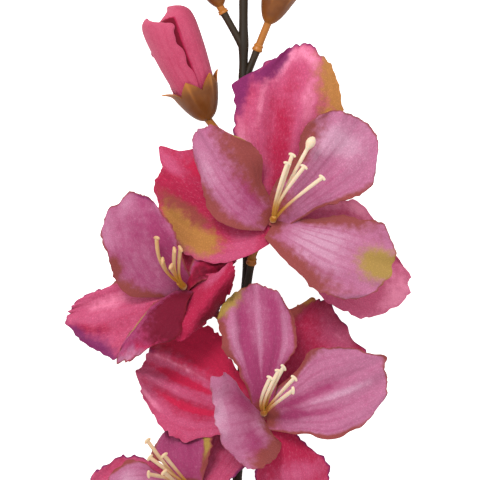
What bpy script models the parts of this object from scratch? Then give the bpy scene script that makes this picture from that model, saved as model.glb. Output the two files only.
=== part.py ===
"""A cut stem of silk gladiolus, lying on its back with its blooms turned up.

Five open blooms and seven buds stand left and right of a slim plastic stem, on short side
branches with pegs. Each bloom has three outer and three inner tepals of heat-formed silk,
five plastic stamens and a plastic calyx. Lengths below are in millimetres: X runs across the
stem, Y from its cut foot to its tip, and Z up from the surface that it lies on.
"""
import math
from collections import namedtuple

import bmesh
import bpy
from mathutils import Matrix, Vector

MM = 0.001
CLEARANCE = 0.3
WELD = 0.00001

# The stem: its middle line from the foot to the tip, and its radius at foot and tip.
STEM_ROUTE = [(0, 0, 2.12), (0, 35, 2.12), (-0.3, 72, 2.12), (-1.5, 130, 3.6), (-2.6, 200, 8),
              (-2.4, 290, 12), (1.7, 380, 12.5), (0.6, 430, 12.5), (0.2, 472, 12), (0.6, 520, 10),
              (3, 566, 7)]
STEM_POINTS = 36
FOOT_RADIUS = 2.1
TIP_RADIUS = 1.85
BRANCH_RADIUS = 1.5
PEG_RADIUS = 1.6
COLLAR_RADIUS = 2.3
COLLAR_LENGTH = 3

# Silk and plastic, with how far each layer of a bloom stands along its axis from the throat.
SILK = 0.7
HUB_THICKNESS = 1.2
OUTER_HUB_RADIUS = 4.2
INNER_HUB_RADIUS = 2.8
INNER_HUB_LEVEL = HUB_THICKNESS + CLEARANCE
STAMEN_LEVEL = INNER_HUB_LEVEL + HUB_THICKNESS + CLEARANCE

# Tepals: half width and place of the claw, where the tip starts to round off, the grid that makes one
# (its spacing follows the bend), and the waves along its edges.
OUTER_CLAW = 10
INNER_CLAW = 2.6
CLAW_SHARE = 0.6
OUTER_START = 1.6
INNER_START = 2.1
CLAW_LEVEL = 0.45
CUPPED_FROM = 0.35
ROUND_FROM = 0.4
SWEPT_FROM = 0.12
SWEPT_TO = 0.15
SWEPT_FADE = 0.55
ROWS_ALONG = 6
ROWS_ACROSS = 6
RIPPLES = 2.2
NO_TURN = 0.00001

# Stamens: a short round seat with thin threads, each with a bar across its end.
SEAT_RADIUS = 1.4
SEAT_TOP_RADIUS = 0.9
SEAT_HEIGHT = 4.5
THREAD_RADIUS = 0.65
ANTHER_RADIUS = 0.7
ANTHER_REACH = 2.2

# Calyx cups: wall, number of lobes, the share of the wall below the lobes, and the cup of a bloom.
CUP_WALL = 0.8
LOBES = 6
CUP_ROWS = 3
CUP_RIM = 0.66
CUP_THROAT = 1.2
BLOOM_CUP_DEPTH = 13
BLOOM_CUP_HEIGHT = 10.4
BLOOM_CUP_RADIUS = 4.3
BUD_CUP_SHARE = 0.2
BUD_LOBE_SHARE = 0.18

# Buds: three tepals wrapped round each other. SEAM is where the first laps over, in turns from the right.
BUD_SEAT = 3
WRAPS = 3
SEAM = 0.22
LAP_UNDER = 0.9
LAP_HEIGHT = 0.14
ROUND_SEAT = 0.25
BLUNTNESS = 16
NOTCH_DEPTH = 0.09
NOTCH_FROM = 0.75

DEEP_PINK = (0.62, 0.09, 0.16)
MAUVE = (0.58, 0.25, 0.37)
CREAM = (0.80, 0.66, 0.38)
AMBER = (0.33, 0.15, 0.07)
BARK = (0.085, 0.062, 0.04)

# elbow and tip are from the throat; left and right are half widths at 1/4, 1/2, 3/4 and 4/4 of the
# length; face is where the tip looks; cup is how far its edges turn forward, in degrees; sweep is how
# far its left edge is drawn back towards the claw.
Tepal = namedtuple("Tepal", "elbow tip left right face cup ripple phase sweep", defaults=(0.8, 0.0, 0.0))
Bloom = namedtuple("Bloom", "throat axis fork outer inner stamens lean", defaults=((0, 0, 0),))
Bud = namedtuple("Bud", "base axis fork branch length radius twist")


def regular_tepal(azimuth, length, reach, rise, lift, half, cup, phase=0.0):
    """A tepal of even shape in a level bloom; rise and lift are the heights of its elbow and tip."""
    out = Vector((math.cos(math.radians(azimuth)), math.sin(math.radians(azimuth)), 0))
    elbow = out * length * 0.38 + Vector((0, 0, length * rise))
    tip = out * length * reach + Vector((0, 0, length * lift))
    sides = (half * 0.55, half * 0.95, half * 1.15, half * 1.1)
    face = Vector((0, 0, 1)) - out * 0.15
    return Tepal(elbow, tip, sides, sides, face, cup, 0.9, phase)


BLOOMS = {
    "a": Bloom(
        (12.2, 398.4, 31), (0.12, 0.3, 0.95), 366,
        outer=[
            Tepal((4, 34, 1), (13, 75, -11), (12, 22, 26, 16), (12, 18, 24, 27), (-0.1, -0.1, 1), 8),
            Tepal((-24, 1, 1), (-47, 21, -15), (20, 23, 23, 23), (10, 16, 23, 33),
                  (-0.2, 0, 1), -4, 0.8, 1),
            Tepal((26, -14, 1), (59, -27, -31), (18, 24, 22, 15), (12, 19, 24, 26),
                  (0.2, 0, 1), 4, 0.8, 2)],
        inner=[
            Tepal((-18, 16, 12), (-30, 39, 6), (15, 15, 13, 13), (9, 16, 17, 15), (-0.3, -0.1, 1), -16),
            Tepal((19, 18, 11), (38, 43, 2), (11, 12, 17, 24), (9, 15, 22, 24), (0, -0.2, 1), 10, 0.8, 0.6),
            Tepal((22, -9, 13), (51, -20, 7), (7, 13, 17, 23), (14, 20, 22, 24),
                  (0, 0.2, 1), -8, 0.8, 1.7)],
        stamens=[(16.8, 34.4, 14), (8.4, 28, 18), (6.3, 24.4, 20), (13.4, 23, 20), (21, 18.5, 18)],
        lean=(0, 1, 0.7)),
    "b": Bloom(
        (-23.1, 369.8, 27), (-0.55, 0.4, 0.73), 345,
        outer=[
            Tepal((-23, -5, -2), (-52, -11, -26), (10, 20, 25, 20), (9, 12, 11, 8), (-0.2, 0.2, 1), 4),
            Tepal((3, 20, -6), (8, 38, -18), (8, 12, 14, 13), (7, 9, 10, 9),
                  (-0.3, -0.1, 0.9), 8, 0.8, 1.2),
            Tepal((8, -9, 20), (13, -10, 12), (6, 17, 19, 12), (5, 15, 17, 11),
                  (0.55, -0.5, 0.67), 5, 0.6, 2.4)],
        inner=[
            Tepal((-18, 16, 12), (-23, 41, 8), (21, 21, 20, 19), (8, 12, 12, 12), (-0.2, 0, 1), -8),
            Tepal((-13, -3, 15), (-28, -29, 7), (8, 13, 12, 8), (3, 3, 4, 6),
                  (-0.2, 0.3, 0.93), -38, 0.6, 0.9),
            Tepal((4, 10, 9.6), (20, 13.6, -4), (4, 7, 7.8, 7), (3.5, 5.6, 6.4, 5.6),
                  (-0.4, -0.1, 0.9), 8, 0.6, 2)],
        stamens=[(-13, 22, 15), (-10.5, 12.5, 19), (-5.5, 17, 20), (-3, 17.5, 20), (-7, 10, 22)]),
    "c": Bloom(
        (8.4, 317.3, 31), (0.1, 0.28, 0.95), 294,
        outer=[
            Tepal((-27, 6, 0), (-52, 20, -20), (13, 20, 21, 18), (14, 24, 30, 34), (-0.1, 0, 1), -4),
            Tepal((13, 28, -2), (27, 47, -20), (9, 13, 15, 14), (12, 23, 30, 31),
                  (0.1, -0.1, 1), 6, 0.8, 1.1),
            Tepal((5, -22, 8), (8, -46, -6), (13, 21, 25, 26), (8, 8, 10, 12), (0, 0.1, 1), 4, 0.8, 2.1)],
        inner=[
            Tepal((-1, 27, 11), (-3, 55, 2), (7, 14, 18, 21), (7, 14, 17, 18), (0, -0.2, 1), 8),
            Tepal((26, 7, 12), (52, 18, 4), (12, 20, 21, 22), (13, 19, 19, 17), (0, 0, 1), 12, 0.8, 0.8),
            Tepal((-9, -1, 18), (-20, -3, 23), (18, 22, 23, 22), (14, 20, 22, 22),
                  (0.3, 0.1, 0.95), 4, 0.8, 1.9, 7)],
        stamens=[(3, 16, 18), (6.5, 19, 19), (8.5, 20.5, 20), (13, 16, 22), (12.5, 11, 24)]),
    "d": Bloom(
        (-21, 286, 28), (-0.3, 0.25, 0.92), 262,
        outer=[
            Tepal((-22, -2, 1), (-46, -10, -22), (10, 17, 20, 20), (11, 18, 20, 20), (-0.1, 0, 1), 4),
            Tepal((10, 17, 2), (17, 31, -14), (8, 12, 14, 13), (13, 15, 13, 12),
                  (-0.2, -0.2, 1), 6, 0.8, 1.3),
            Tepal((7, -18, 10), (10, -39, 3), (10, 16, 19, 19), (10, 16, 19, 19),
                  (0, 0.1, 1), 4, 0.8, 2.2)],
        inner=[
            Tepal((-19, -1, 12), (-37, -7, 8), (8, 14, 17, 17), (8, 15, 18, 17), (-0.2, 0, 1), -6),
            Tepal((-2, 16, 8), (-5, 31, -13), (8, 14, 17, 16), (7, 12, 13, 12), (-0.2, -0.2, 1), 8, 0.8, 1),
            Tepal((4, -14, 16), (6, -32, 16), (8, 14, 17, 17), (8, 14, 17, 17),
                  (-0.1, 0.5, 0.85), 8, 0.8, 2)],
        stamens=[(-19, 21, 16), (-18, 14, 18), (-18.5, 7, 19), (-12, 15, 21), (-12, 8, 23)]),
    "e": Bloom(
        (10, 219, 30), (0.1, 0.15, 0.98), 198,
        outer=[
            regular_tepal(88, 54, 0.9, 0.02, -0.35, 19, 6),
            regular_tepal(205, 58, 0.93, 0.02, -0.85, 20, 4, 1),
            regular_tepal(328, 58, 0.93, 0.02, -0.85, 20, 4, 2)],
        inner=[
            regular_tepal(148, 50, 0.92, 0.26, 0.14, 16, -8),
            regular_tepal(28, 50, 0.94, 0.26, 0.1, 16, 8, 0.7),
            regular_tepal(268, 50, 0.9, 0.3, 0.28, 17, 8, 1.6)],
        stamens=[(10, 24, 16), (5, 22, 19), (12, 18, 21), (16, 14, 20), (3, 16, 23)]),
}

# base is the bottom of the calyx cup; branch is the share of the way to it that is dark stem.
BUDS = {
    "bud_1": Bud((-14.7, 441.6, 15), (-0.39, 0.92, 0.06), 421, 0.35, 47.5, 12.2, 0.1),
    "bud_2": Bud((10.5, 482.4, 13), (0.36, 0.93, 0.05), 457, 0.55, 46, 9, 0.14),
    "bud_3": Bud((-9.7, 489.5, 12), (-0.34, 0.94, 0.02), 472, 0.85, 40, 7.8, 0.14),
    "bud_4": Bud((10, 522, 11), (0.4, 0.92, 0), 500, 0.7, 34, 6.6, 0.16),
    "bud_5": Bud((-6.5, 543, 9), (-0.36, 0.93, 0), 524, 0.7, 29, 5.6, 0.16),
    "bud_6": Bud((10.5, 566, 7.5), (0.42, 0.91, 0), 547, 0.7, 24, 4.8, 0.18),
    "bud_7": Bud((3.8, 578, 5.62), (0.16, 0.98, -0.06), 562, 0.7, 20, 4.2, 0.18),
}


def through(values, t):
    """The smooth value at t, from 0 to 1, through evenly spaced values."""
    spans = len(values) - 1
    place = min(max(t, 0.0), 1.0) * spans
    index = min(int(place), spans - 1)
    f = place - index
    b, c = values[index], values[index + 1]
    a = values[index - 1] if index > 0 else b * 2 - c
    d = values[index + 2] if index + 2 <= spans else c * 2 - b
    square, cube = a * 2 - b * 5 + c * 4 - d, b * 3 - a - c * 3 + d
    return (b * 2 + (c - a) * f + square * f ** 2 + cube * f ** 3) * 0.5


def bend(start, elbow, end, t):
    """Point and direction at t on the curve that leaves start towards elbow and comes to end."""
    point = start * (1 - t) ** 2 + elbow * 2 * t * (1 - t) + end * t ** 2
    slope = (elbow - start) * (1 - t) + (end - elbow) * t
    return point, slope.normalized()


def smooth(x):
    """Rises softly from 0 at x = 0 to 1 at x = 1, and stays level outside."""
    x = min(max(x, 0.0), 1.0)
    return x * x * (3 - 2 * x)


def stem_middle(y):
    """The stem's middle at the distance y from its foot."""
    for index, (low, high) in enumerate(zip(STEM_ROUTE, STEM_ROUTE[1:])):
        if low[1] <= y <= high[1]:
            step = index + (y - low[1]) / (high[1] - low[1])
            return through([Vector(place) for place in STEM_ROUTE], step / (len(STEM_ROUTE) - 1))
    return Vector(STEM_ROUTE[-1])


def stem_radius(y):
    return FOOT_RADIUS + (TIP_RADIUS - FOOT_RADIUS) * y / STEM_ROUTE[-1][1]


def frame_round(axis):
    """Two directions square to axis: level to the right of it, and up."""
    aside = axis.cross(Vector((0, 0, 1))).normalized()
    return aside, aside.cross(axis)


def material(name, colour, roughness):
    made = bpy.data.materials.new(name)
    made.use_nodes = True
    shader = made.node_tree.nodes["Principled BSDF"]
    shader.inputs["Base Color"].default_value = (*colour, 1)
    shader.inputs["Roughness"].default_value = roughness
    shader.inputs["Metallic"].default_value = 0
    return made


def evaluated_mesh(source):
    bpy.context.view_layer.update()
    graph = bpy.context.evaluated_depsgraph_get()
    return bpy.data.meshes.new_from_object(source.evaluated_get(graph))


def replace_by_mesh(source):
    """The same piece as a plain mesh with its loose caps welded; the source object goes."""
    mesh = evaluated_mesh(source)
    shape = bmesh.new()
    shape.from_mesh(mesh)
    bmesh.ops.remove_doubles(shape, verts=shape.verts, dist=WELD)
    bmesh.ops.recalc_face_normals(shape, faces=shape.faces)
    shape.to_mesh(mesh)
    shape.free()
    made = bpy.data.objects.new(source.name + "_mesh", mesh)
    made.matrix_world = source.matrix_world
    bpy.context.scene.collection.objects.link(made)
    bpy.data.objects.remove(source)
    return made


def tube(points, radii, resolution=2):
    curve = bpy.data.curves.new("tube", "CURVE")
    curve.dimensions = "3D"
    curve.bevel_depth = MM
    curve.bevel_resolution = resolution
    curve.use_fill_caps = True
    spline = curve.splines.new("POLY")
    spline.points.add(len(points) - 1)
    for knot, place, radius in zip(spline.points, points, radii):
        knot.co = (*(place * MM), 1)
        knot.radius = radius
    source = bpy.data.objects.new("tube", curve)
    bpy.context.scene.collection.objects.link(source)
    return replace_by_mesh(source)


def disc(middle, axis, radius, thickness, sides=12):
    """A hub disc that stands on middle and rises along axis."""
    shape = bmesh.new()
    bmesh.ops.create_cone(shape, cap_ends=True, segments=sides, radius1=radius * MM, radius2=radius * MM,
                          depth=thickness * MM)
    mesh = bpy.data.meshes.new("disc")
    shape.to_mesh(mesh)
    shape.free()
    made = bpy.data.objects.new("disc", mesh)
    bpy.context.scene.collection.objects.link(made)
    turn = axis.to_track_quat("Z", "Y").to_matrix().to_4x4()
    turn.translation = (middle + axis * thickness / 2) * MM
    made.data.transform(turn)
    return made


def sheet(shape_at, along, across, thickness, round_trip=False):
    """A closed shell of even thickness over the surface that shape_at(s, t) gives, s and t from 0 to 1."""
    shape = bmesh.new()
    bmesh.ops.create_grid(shape, x_segments=across, y_segments=along, size=0.5)
    for vert in shape.verts:
        vert.co = shape_at(vert.co.x + 0.5, vert.co.y + 0.5) * MM
    if round_trip:
        bmesh.ops.remove_doubles(shape, verts=shape.verts, dist=WELD)
    bmesh.ops.triangulate(shape, faces=shape.faces)
    mesh = bpy.data.meshes.new("sheet")
    shape.to_mesh(mesh)
    shape.free()
    source = bpy.data.objects.new("sheet", mesh)
    bpy.context.scene.collection.objects.link(source)
    shell = source.modifiers.new("thickness", "SOLIDIFY")
    shell.thickness = thickness * MM
    shell.offset = 0
    return replace_by_mesh(source)


def join(name, pieces, finish):
    """One closed body from pieces that run into each other."""
    first = pieces[0]
    if len(pieces) > 1:
        others = bpy.data.collections.new(name + "_pieces")
        for piece in pieces[1:]:
            others.objects.link(piece)
        union = first.modifiers.new("join", "BOOLEAN")
        union.operation = "UNION"
        union.solver = "EXACT"
        union.operand_type = "COLLECTION"
        union.collection = others
    made = bpy.data.objects.new(name, evaluated_mesh(first))
    for piece in pieces:
        bpy.data.objects.remove(piece)
    if len(pieces) > 1:
        bpy.data.collections.remove(others)
    made.data.materials.clear()
    made.data.materials.append(finish)
    made.data.shade_smooth()
    made.data.set_sharp_from_angle(angle=math.radians(50))
    stem_parts.objects.link(made)
    return made


def tepal_piece(tepal, throat, axis, level, claw, start):
    """One tepal: a bent sheet from its narrow claw in the hub to its round tip."""
    elbow, tip = Vector(tepal.elbow), Vector(tepal.tip)
    outward = (elbow - axis * elbow.dot(axis)).normalized()
    foot = axis * level + outward * start
    face_at_tip = Vector(tepal.face).normalized()
    left = (min(claw, tepal.left[0] * CLAW_SHARE), *tepal.left)
    right = (min(claw, tepal.right[0] * CLAW_SHARE), *tepal.right)

    def place(s, t):
        side = s * 2 - 1
        past = max(0.0, (t - ROUND_FROM) / (1 - ROUND_FROM))
        way = t if past == 0 else ROUND_FROM + (1 - ROUND_FROM) * past * math.sqrt(1 - side ** 2 / 2)
        middle, along = bend(foot, elbow, tip, way)
        ease = way * way * (3 - 2 * way)
        face = axis.lerp(face_at_tip, ease).normalized()
        across = along.cross(face).normalized()
        normal = across.cross(along)
        half = through(right if side > 0 else left, t) * math.sqrt(1 - past ** 2 / 2)
        turn = math.radians(tepal.cup) * min(1.0, t / CUPPED_FROM) + NO_TURN
        sideways = half * math.sin(turn * abs(side)) / turn * (1 if side > 0 else -1)
        forward = half * (1 - math.cos(turn * side)) / turn
        lap = math.sin(math.tau * RIPPLES * t + tepal.phase + side)
        forward += tepal.ripple * abs(side) ** 3 * lap * math.sin(math.pi * min(t, 0.9))
        point = throat + middle + across * sideways + normal * forward
        if side < 0:
            drawn_back = smooth(t / SWEPT_FROM) * (1 - smooth((t - SWEPT_TO) / SWEPT_FADE))
            point -= along * (tepal.sweep * side ** 2 * drawn_back)
        point.z = max(point.z, SILK / 2)
        return point

    return sheet(place, ROWS_ALONG, ROWS_ACROSS, SILK)


def calyx_cup(base, axis, radius_at, height, lobe):
    """A cup of pointed lobes that opens from the peg; radius_at gives its width up the axis."""
    aside, ahead = frame_round(axis)

    def place(s, t):
        angle = s * math.tau
        pointed = 1 - abs((s * LOBES) % 1 - 0.5) * 2
        past = max(0.0, t - CUP_RIM)
        level = height * min(t / CUP_RIM, 1) + lobe * pointed * past / (1 - CUP_RIM)
        wide = max(radius_at(level), CUP_THROAT)
        spoke = aside * math.cos(angle) + ahead * math.sin(angle)
        return base + axis * (level + past) + spoke * wide

    return sheet(place, CUP_ROWS, LOBES * 2, CUP_WALL, round_trip=True)


def side_branch(fork, towards, share, lean=(0, 0, 0)):
    """Root in the stem, end and heading of a short branch; lean is added to its heading."""
    root = stem_middle(fork)
    heading = ((towards - root).normalized() + Vector(lean)).normalized()
    return root, root + heading * (towards - root).length * share, heading


def peg_pieces(end, heading, base, top):
    """A peg with its collar from the branch's end to the cup's base, and on up to the seat at top."""
    start = end + heading * CLEARANCE
    reach = (base - start).length
    elbow = start + heading * reach / 2
    inside = start + heading * min(COLLAR_LENGTH, reach / 2)
    points = [start] + [bend(inside, elbow, base, step / 2)[0] for step in range(3)] + [top]
    collar = tube([start, inside], [COLLAR_RADIUS] * 2, 1)
    return [tube(points, [PEG_RADIUS] * 4 + [PEG_RADIUS * 1.2], 1), collar]


def stamen_piece(name, throat, axis, tips):
    """The seat in the throat with a curved thread to each tip."""
    base = throat + axis * STAMEN_LEVEL
    middle = base + axis * SEAT_HEIGHT / 2
    pieces = [tube([base, middle, base + axis * SEAT_HEIGHT], [SEAT_RADIUS, SEAT_RADIUS, SEAT_TOP_RADIUS], 1)]
    for tip in tips:
        end = throat + Vector(tip)
        lean = (end - base) - axis * (end - base).dot(axis)
        root = middle + lean.normalized() * SEAT_RADIUS / 3
        elbow = root + axis * (end - root).length / 2
        points = [bend(root, elbow, end, step / 3)[0] for step in range(4)]
        pieces.append(tube(points, [THREAD_RADIUS] * 4, 0))
        bar = (end - points[-2]).cross(axis).normalized() * ANTHER_REACH
        pieces.append(tube([end - bar, end + bar], [ANTHER_RADIUS] * 2, 0))
    join(name, pieces, cream)


def bloom_parts(name, bloom):
    throat, axis = Vector(bloom.throat), Vector(bloom.axis).normalized()
    for layer, tepals, level, radius, claw, start, finish in (
            ("outer_tepals", bloom.outer, 0.0, OUTER_HUB_RADIUS, OUTER_CLAW, OUTER_START, deep_pink),
            ("inner_tepals", bloom.inner, INNER_HUB_LEVEL, INNER_HUB_RADIUS, INNER_CLAW, INNER_START, mauve)):
        hub = disc(throat + axis * level, axis, radius, HUB_THICKNESS)
        petals = [tepal_piece(tepal, throat, axis, level + CLAW_LEVEL, claw, start) for tepal in tepals]
        join(f"bloom_{name}_{layer}", [hub] + petals, finish)
    stamen_piece(f"bloom_{name}_stamens", throat, axis, bloom.stamens)
    base = throat - axis * BLOOM_CUP_DEPTH
    root, end, heading = side_branch(bloom.fork, base, 0.5, bloom.lean)

    def wide_at(level):
        return BLOOM_CUP_RADIUS * math.sin(level / BLOOM_CUP_DEPTH * math.pi / 2) ** 0.8

    cup = calyx_cup(base, axis, wide_at, BLOOM_CUP_HEIGHT, CLEARANCE)
    join(f"bloom_{name}_calyx", peg_pieces(end, heading, base, throat - axis * CLEARANCE) + [cup], amber)
    return root, end


def bud_girth(bud, way):
    """Radius of a wrapped bud at its share way of its length: slim at the seat, blunt at the tip."""
    way = min(max(way, 0.0), 1.0)
    seat = math.sin(math.pi / 2 * min(1.0, way / ROUND_SEAT)) ** 0.6
    belly = 1 - 0.5 * (1 - way) ** 2
    return bud.radius * seat * belly * math.sqrt(1 - way ** BLUNTNESS)


def bud_parts(name, bud):
    base, axis = Vector(bud.base), Vector(bud.axis).normalized()
    aside, ahead = frame_round(axis)
    shape = bmesh.new()
    bmesh.ops.create_uvsphere(shape, u_segments=12, v_segments=8, radius=1)
    for vert in shape.verts:
        way = math.acos(max(-1.0, min(1.0, vert.co.z))) / math.pi
        angle = math.atan2(vert.co.y, vert.co.x)
        from_seam = WRAPS * (angle / math.tau - SEAM)
        lap = (from_seam + bud.twist * WRAPS * way) % 1
        girth = bud_girth(bud, way) * (LAP_UNDER + LAP_HEIGHT * lap)
        spoke = aside * math.cos(angle) + ahead * math.sin(angle)
        open_tip = max(0.0, way - NOTCH_FROM) / (1 - NOTCH_FROM)
        notch = NOTCH_DEPTH * open_tip * (1 + math.cos(math.tau * from_seam)) / 2
        vert.co = (base + axis * (BUD_SEAT + bud.length * (way - notch)) + spoke * girth) * MM
    mesh = bpy.data.meshes.new("bud")
    shape.to_mesh(mesh)
    shape.free()
    wrapped = bpy.data.objects.new("bud", mesh)
    bpy.context.scene.collection.objects.link(wrapped)
    join(f"{name}_tepals", [wrapped], deep_pink)
    root, end, heading = side_branch(bud.fork, base, bud.branch)
    height = bud.length * BUD_CUP_SHARE

    def wide_at(level):
        petals = bud_girth(bud, (level - BUD_SEAT) / bud.length) * (LAP_UNDER + LAP_HEIGHT)
        return max(petals + CLEARANCE + CUP_WALL, bud.radius * LAP_UNDER * min(level / height, 1) ** 0.8)

    cup = calyx_cup(base, axis, wide_at, height, bud.length * BUD_LOBE_SHARE)
    pieces = peg_pieces(end, heading, base, base + axis * (BUD_SEAT - CLEARANCE))
    join(f"{name}_calyx", pieces + [cup], amber)
    return root, end


def stem_part(forks):
    points = [through([Vector(place) for place in STEM_ROUTE], step / (STEM_POINTS - 1))
              for step in range(STEM_POINTS)]
    pieces = [tube(points, [stem_radius(point.y) for point in points])]
    for root, end in forks:
        pieces.append(tube([root, end], [BRANCH_RADIUS, BRANCH_RADIUS * 1.1], 1))
    join("stem", pieces, bark)


for old in list(bpy.data.objects):
    bpy.data.objects.remove(old)
stem_parts = bpy.data.collections.new("gladiolus_stem")
bpy.context.scene.collection.children.link(stem_parts)
deep_pink = material("deep_pink_silk", DEEP_PINK, 0.6)
mauve = material("mauve_silk", MAUVE, 0.6)
cream = material("cream_plastic", CREAM, 0.45)
amber = material("amber_plastic", AMBER, 0.35)
bark = material("dark_stem_plastic", BARK, 0.5)

branches = [bloom_parts(name, bloom) for name, bloom in BLOOMS.items()]
branches += [bud_parts(name, bud) for name, bud in BUDS.items()]
stem_part(branches)

# The origin is put at the middle of the footprint, on the surface that the part lies on.
bpy.context.view_layer.update()
corners = [part.matrix_world @ Vector(corner) for part in stem_parts.objects for corner in part.bound_box]
low = Vector([min(corner[axis] for corner in corners) for axis in range(3)])
high = Vector([max(corner[axis] for corner in corners) for axis in range(3)])
for part in stem_parts.objects:
    part.data.transform(Matrix.Translation((-(low.x + high.x) / 2, -(low.y + high.y) / 2, -low.z)))
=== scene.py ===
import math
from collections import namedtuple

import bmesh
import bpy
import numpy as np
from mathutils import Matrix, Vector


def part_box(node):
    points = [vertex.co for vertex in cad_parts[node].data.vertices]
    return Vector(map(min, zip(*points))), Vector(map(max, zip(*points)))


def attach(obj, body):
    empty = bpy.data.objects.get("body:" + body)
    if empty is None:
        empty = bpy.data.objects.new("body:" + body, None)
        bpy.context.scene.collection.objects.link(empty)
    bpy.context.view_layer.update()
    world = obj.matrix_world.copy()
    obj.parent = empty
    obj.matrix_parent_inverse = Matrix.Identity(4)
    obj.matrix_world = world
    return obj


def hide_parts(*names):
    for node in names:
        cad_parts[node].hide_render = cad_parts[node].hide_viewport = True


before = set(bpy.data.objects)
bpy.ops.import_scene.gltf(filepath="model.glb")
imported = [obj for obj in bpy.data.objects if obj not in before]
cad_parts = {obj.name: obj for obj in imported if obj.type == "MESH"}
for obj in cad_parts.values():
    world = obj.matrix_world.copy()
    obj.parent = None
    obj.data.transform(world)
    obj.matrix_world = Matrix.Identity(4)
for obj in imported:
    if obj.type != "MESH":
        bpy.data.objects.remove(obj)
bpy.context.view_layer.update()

# %% [markdown]
# # A cut stem of silk gladiolus
# The real thing is an artificial flower. Its tepals are punched out of dyed satin cloth and pressed
# hot into shape, and they are threaded on plastic pegs with a calyx cup behind and a comb of plastic
# stamens in front. The frame holds plain solids of all these pieces. This lesson lays fine cloth,
# moulded plastic and their finishes over them, in the same places, and leaves the solids as they are.

MM = 0.001
TAU = math.tau
print("nodes in the frame:", len(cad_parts))

# %% [markdown]
# ## Where the stem lies
# The stem lies on its back. All positions below are in millimetres from the middle of its cut foot:
# X runs across, Y along the stem and Z up from the table. The frame puts its origin elsewhere, at the
# middle of the footprint, so the foot is found in the stem's own solid instead of being typed in.

# %% The foot of the stem
FOOT_HEIGHT = 2.12
stem_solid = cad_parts["stem"]
foot_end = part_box("stem")[0].y + 0.01 * MM
foot_ring = np.array([v.co for v in stem_solid.data.vertices if v.co.y < foot_end])
ORIGIN = foot_ring.mean(0) - (0, 0, FOOT_HEIGHT * MM)


def in_frame(points):
    """Points in millimetres from the foot, as metres in the frame."""
    return np.asarray(points, float) * MM + ORIGIN


print("foot at", np.round(ORIGIN * 1000, 2), "mm")

# %% [markdown]
# ## Small tools
# A petal is a smooth function of two numbers: s runs from its left edge to its right one, and t from
# its narrow claw to its tip. Whole arrays of s and t go through numpy at once, which is fast enough
# for a fine cloth. Widths are given at five places and joined by a smooth curve, as on a paper pattern.

# %% Vectors and curves
def unit(v):
    """Vectors of the same direction and length one."""
    return v / np.linalg.norm(v, axis=-1, keepdims=True)


def ramp(low, high, x):
    """Rises softly from 0 at low to 1 at high."""
    f = np.clip((x - low) / (high - low), 0, 1)
    return f * f * (3 - 2 * f)


def through(values, t):
    """The smooth curve through evenly spaced values, read at t from 0 to 1."""
    values = np.asarray(values, float)
    spans = len(values) - 1
    place = np.clip(t, 0, 1) * spans
    index = np.minimum(place.astype(int), spans - 1)
    f = place - index
    padded = np.concatenate([[2 * values[0] - values[1]], values, [2 * values[-1] - values[-2]]])
    a, b, c, d = (padded[index + k] for k in range(4))
    if values.ndim > 1:
        f = f[..., None]
    return 0.5 * (2 * b + (c - a) * f + (2 * a - 5 * b + 4 * c - d) * f**2 + (3 * b - a - 3 * c + d) * f**3)


def bend(start, elbow, end, t):
    """Points and directions on the curve that leaves start towards elbow and comes to end."""
    t = np.asarray(t, float)[..., None]
    point = start * (1 - t) ** 2 + elbow * 2 * t * (1 - t) + end * t**2
    return point, unit((elbow - start) * (1 - t) + (end - elbow) * t)


def seat_of(piece, start):
    """A point of a bloom or bud, by its name, and the direction that the flower looks in."""
    return np.array(getattr(piece, start), float), unit(np.array(piece.axis, float))


def random_line(dice, knots, x):
    """A jagged line through random heights from -1 to 1 at whole x."""
    return np.interp(x, np.arange(knots), dice.uniform(-1, 1, knots))


def soft_line(dice, knots, x):
    """A smooth line through random heights at whole x."""
    return through(dice.uniform(-1, 1, knots), x / (knots - 1))


print("halfway through 0, 1, 4:", through([0, 1, 4], np.array([0.5])))

# %% [markdown]
# ## The pattern of each bloom
# Every petal is read from the picture: where its middle line bends (elbow) and ends (tip), counted
# from the throat; its half widths at four places on the left and on the right; the way its tip looks;
# and how many degrees its edges turn up (cup). Ripple and phase shape the waves of its edges, and sweep
# draws its left edge back. Outer petals lie lower and behind, inner ones in front. A fork is the place
# on the stem, in millimetres from its foot, where the side branch of a bloom or bud leaves.

# %% Petals, blooms and buds
Petal = namedtuple("Petal", "elbow tip left right face cup ripple phase sweep", defaults=(0.8, 0.0, 0.0))
Bloom = namedtuple("Bloom", "throat axis fork outer inner stamens lean", defaults=((0, 0, 0),))
Bud = namedtuple("Bud", "base axis fork branch length radius")


def regular_petal(azimuth, length, reach, rise, lift, half, cup, phase=0.0):
    """A petal of even shape in a level bloom; rise and lift are the heights of its elbow and tip."""
    out = np.array([math.cos(math.radians(azimuth)), math.sin(math.radians(azimuth)), 0])
    up = np.array([0, 0, length])
    sides = (half * 0.55, half * 0.95, half * 1.15, half * 1.1)
    return Petal(out * length * 0.38 + up * rise, out * length * reach + up * lift, sides, sides,
                 np.array([0, 0, 1]) - out * 0.15, cup, 0.9, phase)


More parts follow.
